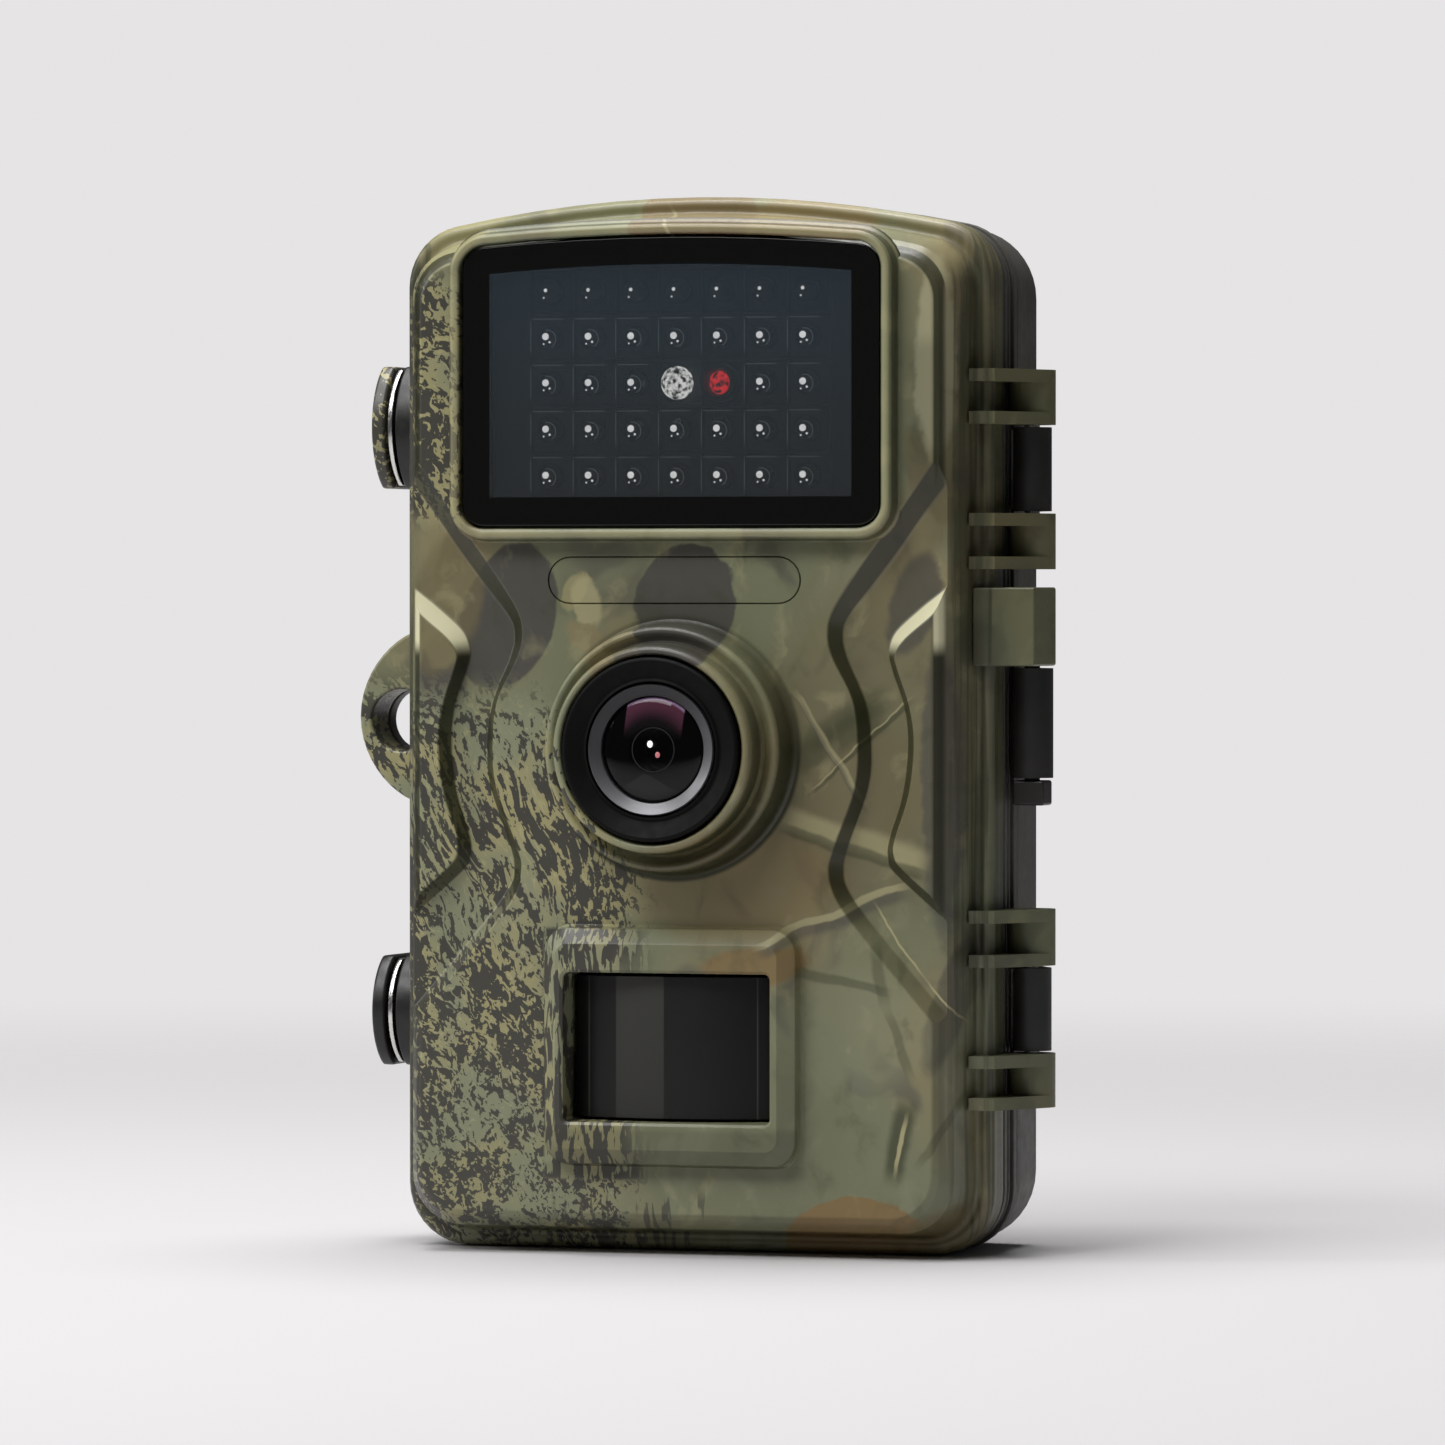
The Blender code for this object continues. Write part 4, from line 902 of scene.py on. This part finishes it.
def flashTray():
    # a tray of shallow square wells with raised rims
    tray = bmesh.new()
    sizeX, sizeZ = flash["columns"] * flash["pitch"][0], flash["rows"] * flash["pitch"][1]
    bmesh.ops.create_grid(tray, x_segments=flash["columns"], y_segments=flash["rows"], size=0.5)
    turnUp = Matrix.Translation((0.0, flash["base"], flash["middle"])) @ Matrix.Rotation(pi / 2, 4, "X")
    bmesh.ops.transform(tray, matrix=turnUp @ Matrix.Diagonal((sizeX, sizeZ, 1.0, 1.0)), verts=tray.verts)
    wells = list(tray.faces)
    rim = [e for e in tray.edges if e.is_boundary]
    walls = bmesh.ops.extrude_edge_only(tray, edges=rim)["geom"]
    feet = [v for v in walls if isinstance(v, bmesh.types.BMVert)]
    bmesh.ops.translate(tray, verts=feet, vec=(0.0, 1.3, 0.0))
    bmesh.ops.edgeloop_fill(tray, edges=[e for e in walls if isinstance(e, bmesh.types.BMEdge)])
    bmesh.ops.inset_individual(tray, faces=wells, thickness=0.22)
    for well in wells:
        bmesh.ops.translate(tray, verts=well.verts, vec=(0.0, 0.55, 0.0))
    bmesh.ops.inset_individual(tray, faces=wells, thickness=0.25)
    for well in wells:
        bmesh.ops.translate(tray, verts=well.verts, vec=(0.0, 0.2, 0.0))
    bmesh.ops.recalc_face_normals(tray, faces=tray.faces)
    piece("flash_tray", soften(tray, 0.06, 30, 2), "gloss", front)


def flashLamps():
    pitchX, pitchZ = flash["pitch"]
    others = ((0, 0), (1, 0))  # the light sensor and the status lamp take these two places
    places = [(c - 3, r - 2) for r in range(flash["rows"]) for c in range(flash["columns"])]
    emitters = [(pitchX * c, flash["middle"] + pitchZ * r) for c, r in places if (c, r) not in others]
    domes = bmesh.new()
    highlightDots = bmesh.new()
    glints = bmesh.new()
    upright = Matrix.Rotation(pi / 2, 4, "X")
    for x, z in emitters:
        where = Matrix.Translation((x, -7.3, z)) @ Matrix.Diagonal((1.0, 1.15, 1.0, 1.0)) @ upright
        bmesh.ops.create_uvsphere(domes, u_segments=20, v_segments=12, radius=flash["dome"], matrix=where)
        edgeRow = z > flash["middle"] + 1.5 * pitchZ  # the top row catches less light
        # painted highlights on each dome: small glowing dots where the dome would reflect the light
        sparks = ((-0.1, 0.1, 0.24), (-0.35, -0.85, 0.12)) if edgeRow \
            else ((-0.1, 0.1, 0.46), (0.45, -0.62, 0.15), (-0.35, -0.85, 0.12))
        for dx, dz, size in sparks:
            where = Matrix.Translation((x + dx, -9.3, z + dz)) @ Matrix.Diagonal((1.0, 0.3, 1.0, 1.0))
            bmesh.ops.create_icosphere(highlightDots, subdivisions=2, radius=size, matrix=where)
        if not edgeRow:
            # painted highlights along each cell's rim: a glowing arc and two glowing lines
            addTo(glints, arcBead((x, z - 0.2), 1.15, -60, 100, 0.05, -9.0))
            high = z + 2.35
            addTo(glints, block((x - 2.0, x + 2.0), (-8.9, -8.8), (high - 0.06, high + 0.06)))
            addTo(glints, block((x - 2.3, x - 2.2), (-8.9, -8.8), (z - 1.9, high - 0.3)))
    piece("flash_glints", glints, "glint", front, crease=60)
    piece("flash_domes", domes, "led", front, "flash_leds", 60)
    piece("flash_highlight_dots", highlightDots, "domeHighlight", front, crease=60)


def sensorAndStatus():
    pitchX = flash["pitch"][0]
    # the light sensor gives off no light: its glow is painted light
    crystals = {
        "light_sensor": (0.0, 2.15, "white", "sensor_white"),
        "status_led": (pitchX, 1.5, "red", "led_red"),
    }
    for node, (x, radius, finish, slot) in crystals.items():
        where = Matrix.Translation((x, -8.0, flash["middle"])) @ Matrix.Diagonal((1.0, 0.7, 1.0, 1.0))
        gem = bmesh.new()
        bmesh.ops.create_icosphere(gem, subdivisions=3, radius=radius, matrix=where)
        piece(node + "_lens", gem, finish, front, node, 12)
    collar = [(2.45, -7.0), (2.45, -9.5), (2.3, -9.65), (1.85, -9.6), (1.6, -9.2), (1.6, -7.0)]
    piece("status_collar", turn(collar, (pitchX, flash["middle"]), 40, closed=True), "satin", front,
          crease=40)


def pirUnit():
    half, radius, thick = 13.3, 40.0, 1.3
    swing = degrees(asin(half / radius))
    face = arc((0.0, radius - 11.2), radius, 270 - swing, 270 + swing, 30)
    back = arc((0.0, radius - 11.2 + thick), radius, 270 + swing, 270 - swing, 30)
    pane = soften(slab(face + back, 17.45, 35.55, "z"), 0.12, 40, 2)
    piece("pir_window", pane, "pir", front, "pir_lens", 30)


ear = {"root": -38.4, "reach": 8.5, "z": 68.25, "half": 11.25, "hole": (-41.3, 67.8), "holeRadius": 4.0}


def padlockEar(name, start, end, finish, body):
    outline = []
    for i in range(25):
        turned = pi * i / 24
        out = ear["reach"] * sin(turned) ** 1.3
        outline.append((ear["root"] - out, ear["z"] + ear["half"] * cos(turned)))
    hole = slab(arc(ear["hole"], ear["holeRadius"], 62, 298, 24), start - 1, end + 1)
    plate = soften(carve(slab(outline, start, end), [hole]), 0.45, 30, 3)
    piece(name, plate, finish, body, crease=40)


def hingeBore(low, high):
    return turn([(hinge["bore"], low), (hinge["bore"], high)], hinge["at"], 24, "z")


def hingeBrackets():
    x, y = hinge["at"]
    shapes = []
    for low, high in brackets["upper"] + brackets["lower"]:
        knuckle = turn([(hinge["knuckle"], low), (hinge["knuckle"], high)], hinge["at"], 40, "z")
        outline = [(37.0, -2.6), (40.4, -2.6), (x + 2.75, y - 1.4), (x, y + 1.0), (38.2, y)]
        ribs = [slab(outline, low, low + hinge["rib"], "z"), slab(outline, high - hinge["rib"], high, "z")]
        solid = carve(knuckle, ribs, "UNION")
        shapes.append(soften(carve(solid, [hingeBore(low - 1, high + 1)]), 0.22, 30, 2))
    joined = addTo(bmesh.new(), *shapes)
    piece("hinge_brackets", joined, "camo", front, crease=40)
    outline = [(37.0, -1.0), (45.2, -1.0)] + arc(hinge["at"], 3.0, 0, 145, 16) + [(38.2, 9.2), (38.2, 0.9)]
    body = carve(slab(outline, 75.0, 85.0, "z"), [hingeBore(74.0, 78.6)])
    piece("lock_block", soften(body, 0.3, 30, 3), "camo", front, crease=40)


def rearShell():
    back = case["back"]
    rim = [
        (10.1, caseOutline(36.2, 3.0, 7.0)), (10.1, caseOutline(37.1, 2.3, 6.6)),
        (11.5, caseOutline(37.1, 2.3, 6.6)), (11.5, caseOutline(38.5, 0.9, 7.4)),
        (10.1, caseOutline(38.5, 0.9, 7.4)), (10.1, caseOutline(39.4, 0.0, 8.0)),
    ]
    inner = [(25.4, caseOutline(36.2, 3.0, 7.0))]
    outer = [
        (11.6, caseOutline(39.4, 0.0, 8.0)), (11.8, caseOutline(38.7, 0.3, 8.7)),
        (12.6, caseOutline(38.7, 0.3, 8.7)), (12.8, caseOutline(39.1, 0.05, 8.8)),
        (14.4, caseOutline(39.1, 0.05, 8.8)), (14.7, caseOutline(38.6, 0.2, 9.0)),
        (25.2, caseOutline(38.2, 0.3, 9.2)), (back, caseOutline(36.6, 1.8, 8.2)),
    ]
    shell = soften(stack(inner + rim + outer), 0.25, 18, 3)
    pad = soften(slab(boxOutline(-23, 23, 34, 100, 3.0), back - 0.6, back + 1.2), 0.3)
    cuts = [
        turn([(4.8, -1.0), (4.8, 6.0)], tripodAt, 40, "z"),
        block((-27.3, -12.7), (12.1, 21.8), (-1.0, 1.8)),  # the port cover's recess
        turn([(3.0, 0.5), (3.0, 6.0)], (-20.0, 16.6), 32, "z"),
    ]
    shell = carve(carve(shell, [pad], "UNION"), cuts)
    piece("rear_case", shell, "charcoal", rear, "rear_shell", 28)
    seal = [
        (10.15, caseOutline(38.2, 1.2, 7.1)), (10.15, caseOutline(37.4, 2.0, 6.8)),
        (11.2, caseOutline(37.4, 2.0, 6.8)), (11.2, caseOutline(38.2, 1.2, 7.1)),
    ]
    piece("case_gasket", soften(stack(seal, ring=True), 0.2, 30, 2), "rubber", rear, "gasket")


lockPin = {"housing": (60.7, 74.7), "radius": 2.7, "head": (57.2, 60.4), "headHalf": 2.1}


def hingeFittings():
    x, y = hinge["at"]
    spans = {name: (each[1][1] + 0.3, each[0][0] - 0.3, hinge["barrel"]) for name, each in brackets.items()}
    spans["lock"] = (*lockPin["housing"], lockPin["radius"])
    for name, (low, high, radius) in spans.items():
        barrel = turn([(radius, low), (radius, high)], hinge["at"], 48, "z")
        web = [(38.6, 12.0), (38.6, 14.6), (41.4, 14.6), (x + 1.9, y + 1.4), (x - 1.2, y + 1.6), (39.8, 10.6)]
        solid = carve(barrel, [slab(web, low, high, "z")], "UNION")
        solid = soften(carve(solid, [hingeBore(low - 1, high + 1)]), 0.2, 30, 3)
        node = "lock_pin_housing" if name == "lock" else "hinge_barrel_" + name
        piece(node + "_sleeve", solid, "gloss", rear, node, 40)
    # a painted highlight on the edge beside each barrel, built as thin pale rods
    highlightRods = bmesh.new()
    for low, high, _ in spans.values():
        profile = [(0.0, low + 0.3), (0.26, low + 0.3), (0.26, high - 0.3), (0.0, high - 0.3)]
        addTo(highlightRods, turn(profile, (39.75, 8.6), 16, "z"))
    piece("hinge_edge_highlights", highlightRods, "edge", rear, crease=40)
    stem = turn([(1.0, 59.9), (1.0, 77.6), (0.6, 78.0)], hinge["at"], 24, "z")
    half = lockPin["headHalf"]
    head = soften(block((x - half, x + half), (y - half, y + half), lockPin["head"]), 0.35)
    piece("lock_pull_pin", carve(head, [stem], "UNION"), "gloss", "lock_pin", "lock_pin", 40)


latches = {"heights": {"upper": (97.9, 113.8), "lower": (22.7, 37.0)}, "pivot": (-43.4, 20.5), "bore": 0.95,
           "lug": 1.5, "bulge": 4.3, "neckHalf": 3.0}


def latchOutline(low, high, nose, back, inset=0.0):
    # a tab with a bowed front edge
    bulge = latches["bulge"]
    half = (high - low) / 2 - inset
    radius = (half ** 2 + bulge ** 2) / (2 * bulge)
    swing = degrees(asin(half / radius))
    bow = arc((nose + radius, (low + high) / 2), radius, 180 + swing, 180 - swing, 28)
    return bow + [(back, high - inset), (back, low + inset)]


def latchRod(radius, low, high, steps=24):
    return turn([(radius, low), (radius, high)], latches["pivot"], steps, "z")


def latch(name, low, high):
    middle = (low + high) / 2
    bore, lug, neckHalf = latches["bore"], latches["lug"], latches["neckHalf"]
    gap = neckHalf + 0.4
    catch = soften(slab(latchOutline(low, high, 4.4, 9.7), -42.6, -39.7, "x"), 0.3, 30, 3)
    piece("latch_catch_plate_" + name, catch, "satin", front, "latch_catch_" + name, 40)
    base = block((-42.6, -39.7), (12.2, 22.0), (low, high))
    lugs = [latchRod(lug, a, b, 32) for a, b in ((low, middle - gap), (middle + gap, high))]
    cuts = [block((-43.6, -41.3), (18.4, 23.0), (middle - gap, middle + gap)),
            latchRod(bore, low - 1, high + 1)]
    base = soften(carve(carve(base, lugs, "UNION"), cuts), 0.2, 30, 2)
    piece("latch_mount_" + name, base, "satin", rear, "latch_base_" + name, 40)
    plate = soften(slab(latchOutline(low, high, 4.0, 18.6), -45.7, -43.9, "x"), 0.42, 30, 3)
    neck = [block((-45.4, -43.95), (17.0, latches["pivot"][1]), (middle - neckHalf, middle + neckHalf)),
            latchRod(lug, middle - neckHalf, middle + neckHalf, 32)]
    lever = carve(carve(plate, neck, "UNION"), [latchRod(bore, middle - 4, middle + 4)])
    finish, slot = ("camo", "camo_shell") if name == "upper" else ("satin", "black_satin")
    piece("latch_handle_" + name, lever, finish, name + "_lever", "latch_lever_" + name, 40)
    loop = slab(latchOutline(low, high, 4.4, 16.6, 0.4), -43.55, -42.95, "x")
    loop = carve(loop, [block((-44.5, -42.0), (10.4, 14.6), (low + 2.4, high - 2.4))])
    loop = soften(loop, 0.12, 30, 2)
    piece("latch_loop_" + name, loop, "steel", name + "_bail", "latch_bail_" + name, 40)


strap = {"plate": (28.5, 30.3), "bar": (29.8, 37.3), "barX": (14.0, 20.0), "barZ": (44, 90),
         "slot": (30.3, 34.9), "slotZ": (50.0, 84.0), "teeth": 11, "toothPitch": 3.2}


def strapBracket():
    plate = soften(slab(boxOutline(-22, 22, 36, 98, 3.0), *strap["plate"]), 0.35)
    bars = []
    cuts = []
    for side in (-1, 1):
        near, far = sorted(side * x for x in strap["barX"])
        bars.append(soften(slab(boxOutline(near, far, *strap["barZ"], 1.0), *strap["bar"]), 0.35, 30))
        cuts.append(block((near - 1, far + 1), strap["slot"], strap["slotZ"]))
        for i in range(strap["teeth"]):  # teeth that bite the bark
            z = 50.5 + strap["toothPitch"] * i
            tooth = [(near - 1, z), (far + 1, z), (far + 1, z + 1.4), (near - 1, z + 1.4)]
            cuts.append(slab(tooth, 36.7, 38.0))
    cuts += [turn([(1.35, 28.0), (1.35, 31.0)], (0.0, z), 24) for z in bracketScrews.values()]
    shape = carve(carve(plate, bars, "UNION"), cuts)
    piece("strap_mount", shape, "charcoal", rear, "strap_bracket", 35)


def crossScrew(radius, height, end, at, base):
    # a domed head on a short shank, with a cross cut into it
    profile = [(0.0, end), (1.0, end), (1.0, base), (radius, base), (radius, base + height * 0.55),
               (radius * 0.86, base + height * 0.85), (radius * 0.55, base + height), (0.0, base + height)]
    slots = []
    for wide, tall in ((0.22, 1.0), (1.0, 0.22)):
        halfX, halfZ = radius * 0.6 * wide, radius * 0.6 * tall
        slots.append(block((at[0] - halfX, at[0] + halfX), (base + height * 0.4, base + height + 1),
                           (at[1] - halfZ, at[1] + halfZ)))
    return carve(turn(profile, at, 36), slots)


def fasteners():
    for name, z in bracketScrews.items():
        screw = crossScrew(2.8, 1.8, 26.3, (0.0, z), 30.6)
        piece("mount_screw_" + name, screw, "steel", rear, "bracket_screw_" + name, 35)
    for number, at in enumerate(coverScrews, 1):
        screw = crossScrew(2.1, 1.2, 0.2, at, 7.1)
        piece(f"cover_screw_{number}", screw, "steel", front, f"inner_screw_{number}", 35)


def tripodInsert():
    ridge = [(4.5, 0.5), (4.2, 0.2), (3.5, 0.2), (3.18, 0.5)]
    for i in range(12):
        ridge += [(3.18, 0.6 + 0.6 * i), (3.42, 0.9 + 0.6 * i)]
    ridge += [(3.18, 8.0), (4.5, 8.0)]
    piece("tripod_bush", turn(ridge, tripodAt, 48, "z", True), "brass", rear, "tripod_insert", 30)


battery = {"cells": 4, "pitch": 14.9, "y": 14.75, "base": 75.2, "trayY": (12.0, 25.1),
           "trayZ": (71.5, 128.0), "wall": 1.2}


def batteryBay():
    pitch, base, wall = battery["pitch"], battery["base"], battery["wall"]
    half = 2 * pitch + 1.6
    low, high = battery["trayZ"]
    tray = slab(boxOutline(-half, half, low, high, 1.5), *battery["trayY"])
    cuts = [slab(boxOutline(-half + wall, half - wall, low + wall, high - wall, 1.0), 11.0, 22.3)]
    cuts += [block((x - 3.5, x + 3.5), (11.0, 14.0), (125.0, 130.0)) for x in (-1.5 * pitch, 1.5 * pitch)]
    tray = soften(carve(tray, cuts), 0.18, 30, 2)
    piece("cell_tray", tray, "satin", rear, "battery_tray", 35)
    outline = [(6.6, 0.0), (7.1, 0.25), (7.25, 0.7), (7.25, 48.4), (7.05, 48.9), (6.6, 49.1), (6.3, 48.95),
               (3.1, 49.0), (2.75, 49.3), (2.7, 50.2), (2.4, 50.5)]
    springs = bmesh.new()
    for number in range(battery["cells"]):
        at = ((number - 1.5) * pitch, battery["y"])
        cell = turn([(radius, base + z) for radius, z in outline], at, 56, "z")
        piece(f"cell_{number + 1}", cell, "cell", rear, f"battery_cell_{number + 1}", 35)
        addTo(springs, turn([(4.6, 74.9), (4.6, 75.15), (2.0, 75.15), (2.0, 74.9)], at, 32, "z", True))
    piece("cell_springs", springs, "steel", rear, crease=40)


keypad = {"middle": (-12.0, 36.0), "pitch": 9.0,
          "keys": {"up": (0, 1), "down": (0, -1), "left": (-1, 0), "right": (1, 0), "ok": (0, 0)}}


def keyPlaces():
    (x, z), pitch = keypad["middle"], keypad["pitch"]
    return {name: (x + pitch * across, z + pitch * up) for name, (across, up) in keypad["keys"].items()}


def innerCover():
    plate = soften(slab(caseOutline(37.1, 2.3, 5.7), 5.2, 6.8), 0.25)
    frameRaised = soften(slab(boxOutline(-22.4, 22.4, 88.6, 123.4, 1.5), 6.2, 7.1), 0.2)
    padRaised = soften(slab(boxOutline(-25.5, 1.5, 22.5, 49.5, 13.0), 6.2, 7.1), 0.2)
    plate = carve(plate, [frameRaised, padRaised], "UNION")
    cuts = [
        slab(boxOutline(-20.9, 20.9, 90.1, 121.9, 0.6), 4.0, 9.0),
        block((18.6, 31.4), (4.0, 8.0), (46.8, 49.2)),  # the memory card's slot
        block((20.8, 29.2), (4.0, 8.0), (27.6, 32.4)),  # the data socket
        block((4.4, 15.6), (4.0, 8.0), (22.1, 25.9)),  # the mode switch
    ]
    cuts += [turn([(3.15, 4.0), (3.15, 9.0)], at, 36) for at in keyPlaces().values()]
    cuts += [turn([(1.3, 4.0), (1.3, 9.0)], at, 24) for at in coverScrews]
    for i in range(5):  # the loudspeaker's slots
        cuts.append(slab(boxOutline(8.0 + 2.4 * i, 9.0 + 2.4 * i, 60.0, 68.0, 0.45), 6.3, 9.0))
    piece("inner_panel", carve(plate, cuts), "satin", front, "inner_cover", 30)
    pane = soften(slab(boxOutline(-20.6, 20.6, 90.4, 121.6, 0.4), 5.6, 6.6), 0.1)
    body = soften(block((-25.0, 25.0), (1.6, 4.9), (88.0, 126.0)), 0.3)
    piece("display_pane", addTo(pane, body), "display", front, "display")


def keysAndSwitch():
    pointing = {"right": 0, "up": pi / 2, "left": pi, "down": -pi / 2}
    profile = [(0.0, 4.6), (2.9, 4.6), (2.9, 7.3), (2.75, 7.7), (2.3, 7.95), (1.2, 8.0), (0.0, 8.0)]
    for name, at in keyPlaces().items():
        cap = turn(profile, at, 40)
        if name == "ok":
            mark = turn([(1.3, 7.6), (1.3, 9.0), (0.9, 9.0), (0.9, 7.6)], at, 32, closed=True)
        else:
            turns = [pointing[name] + k * 2 * pi / 3 for k in range(3)]
            mark = slab([(at[0] + 1.1 * cos(t), at[1] + 1.1 * sin(t)) for t in turns], 7.75, 9.0)
        piece(f"key_cap_{name}", carve(cap, [mark]), "rubber", f"{name}_key", f"key_{name}", 30)
    slider = soften(block((7.8, 12.2), (4.2, 8.4), (22.5, 25.5)), 0.25)
    grooves = [block((9.0 + 0.9 * i, 9.3 + 0.9 * i), (8.1, 9.0), (22.0, 26.0)) for i in range(3)]
    piece("mode_slider", carve(slider, grooves), "gloss", "switch", "mode_switch", 30)


ribbon = {"bend": (33.4, 9.4), "radius": 2.0, "thick": 0.4, "z": (52.0, 66.0)}


def ribbonCable():
    x, y = ribbon["bend"]
    far, near = ribbon["radius"] + ribbon["thick"] / 2, ribbon["radius"] - ribbon["thick"] / 2
    outer = arc(ribbon["bend"], far, -90, 90, 24)
    inner = arc(ribbon["bend"], near, 90, -90, 24)
    legs = [28.5 + 0.7 * i for i in range(7)]
    outline = [(place, y - far) for place in legs] + outer + [(place, y + far) for place in reversed(legs)]
    outline += [(place, y + near) for place in legs] + inner + [(place, y - near) for place in reversed(legs)]
    strip = slab(outline, *ribbon["z"], "z")
    cable = piece("flat_cable", strip, "film", None, "hinge_ribbon", 40)
    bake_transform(cable)


def keepNodes():
    # CAD nodes whose shape is right, given their finish
    kept = {"flash_board": "satin", "lens_barrel": "dark", "sensor_board": "board", "pir_sensor": "steel",
            "main_board": "board", "card_socket": "steel", "usb_socket": "steel", "battery_contact": "steel",
            "power_socket": "satin", "hinge_pin_upper": "steel", "hinge_pin_lower": "steel",
            "latch_pin_upper": "steel", "latch_pin_lower": "steel", "port_cover": "rubber",
            "memory_card": "satin"}
    for node, finish in kept.items():
        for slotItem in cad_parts[node].material_slots:
            slotItem.material = finishes[finish]


frontShell()
bezelFrame()
pirFrame()
lensMount()
flashWindow()
flashTray()
flashLamps()
sensorAndStatus()
pirUnit()
padlockEar("padlock_ear_front", 3.0, 9.8, "camo", front)
padlockEar("padlock_ear_rear", 10.1, 13.0, "charcoal", rear)
hingeBrackets()
print("front half made")
rearShell()
hingeFittings()
for name, (low, high) in latches["heights"].items():
    latch(name, low, high)
strapBracket()
fasteners()
tripodInsert()
batteryBay()
print("rear half made")
innerCover()
keysAndSwitch()
ribbonCable()
keepNodes()
print("inside made")


stage = {"floorRadius": 1.6, "floor": "C4C2C3", "clearFrom": 0.16, "clearTo": 0.75, "backdrop": "E6E4E5",
         "fill": "F2F4F6", "fillStrength": 0.07}


def paleFloor():
    # a round floor whose edge melts into the backdrop
    shape = bmesh.new()
    bmesh.ops.create_circle(shape, cap_ends=True, segments=96, radius=stage["floorRadius"])
    mesh = bpy.data.meshes.new("floor")
    shape.to_mesh(mesh)
    shape.free()
    finish = Finish("pale_floor", Roughness=0.9)
    finish.set("Base Color", srgb(stage["floor"]))
    mesh.materials.append(finish.material)
    floor = bpy.data.objects.new("floor", mesh)
    floor.location.z = -0.0002
    scene.collection.objects.link(floor)
    coordinates = finish.node("TexCoord").outputs["Object"]
    reach = finish.node("VectorMath", {"operation": "LENGTH"}, {0: coordinates}).outputs["Value"]
    clear = finish.node("BsdfTransparent")
    fade = finish.between(Wire(finish, reach), stage["clearFrom"], stage["clearTo"])
    blended = finish.node("MixShader", None, {0: fade, 1: finish.shader.outputs[0], 2: clear.outputs[0]})
    finish.tree.links.new(blended.outputs[0], finish.tree.nodes["Material Output"].inputs["Surface"])


def studioWorld():
    # the backdrop that the camera sees, and a faint fill light
    world = bpy.data.worlds.new("studio")
    world.use_nodes = True
    seen = world.node_tree.nodes["Background"]
    seen.inputs["Color"].default_value = srgb(stage["backdrop"])
    lit = world.node_tree.nodes.new("ShaderNodeBackground")
    lit.inputs["Color"].default_value = srgb(stage["fill"])
    lit.inputs["Strength"].default_value = stage["fillStrength"]
    paths = world.node_tree.nodes.new("ShaderNodeLightPath")
    both = world.node_tree.nodes.new("ShaderNodeMixShader")
    links = world.node_tree.links
    links.new(paths.outputs["Is Camera Ray"], both.inputs[0])
    links.new(lit.outputs[0], both.inputs[1])
    links.new(seen.outputs[0], both.inputs[2])
    links.new(both.outputs[0], world.node_tree.nodes["World Output"].inputs[0])
    scene.world = world
    scene.view_settings.view_transform = "Standard"


def softbox(name, spotAt, aim, size, power):
    light = bpy.data.lights.new(name, "AREA")
    light.shape = "RECTANGLE"
    light.size, light.size_y = size
    light.energy = power
    item = bpy.data.objects.new(name, light)
    item.location = spotAt
    item.rotation_euler = (Vector(aim) - Vector(spotAt)).to_track_quat("-Z", "Y").to_euler()
    scene.collection.objects.link(item)


def camera():
    view = {"azimuth": 17.5, "elevation": 0.8, "distance": 1.15, "frameHigh": 0.1850}
    aim = home @ Vector((3.5, 0.0, 67.7))
    turned, tilt = radians(view["azimuth"]), radians(view["elevation"])
    way = Vector((sin(turned) * cos(tilt), -cos(turned) * cos(tilt), sin(tilt)))
    lens = bpy.data.cameras.new("camera")
    lens.sensor_width = 36.0
    lens.lens = 36.0 * view["distance"] / view["frameHigh"]
    lens.clip_start = 0.01
    item = bpy.data.objects.new("camera", lens)
    item.location = aim + way * view["distance"]
    item.rotation_euler = (-way).to_track_quat("-Z", "Y").to_euler()
    scene.collection.objects.link(item)
    scene.camera = item


paleFloor()
studioWorld()
softbox("front_top", (-0.4, -0.85, 1.05), (0, 0, 0.06), (0.9, 0.5), 11.0)
softbox("overhead", (-0.1, 0.05, 1.0), (0, 0, 0), (0.8, 0.5), 12.0)
softbox("edge_left", (-1.05, -0.45, 0.55), (0, 0, 0.06), (0.25, 0.35), 3.2)
camera()
print("stage made")
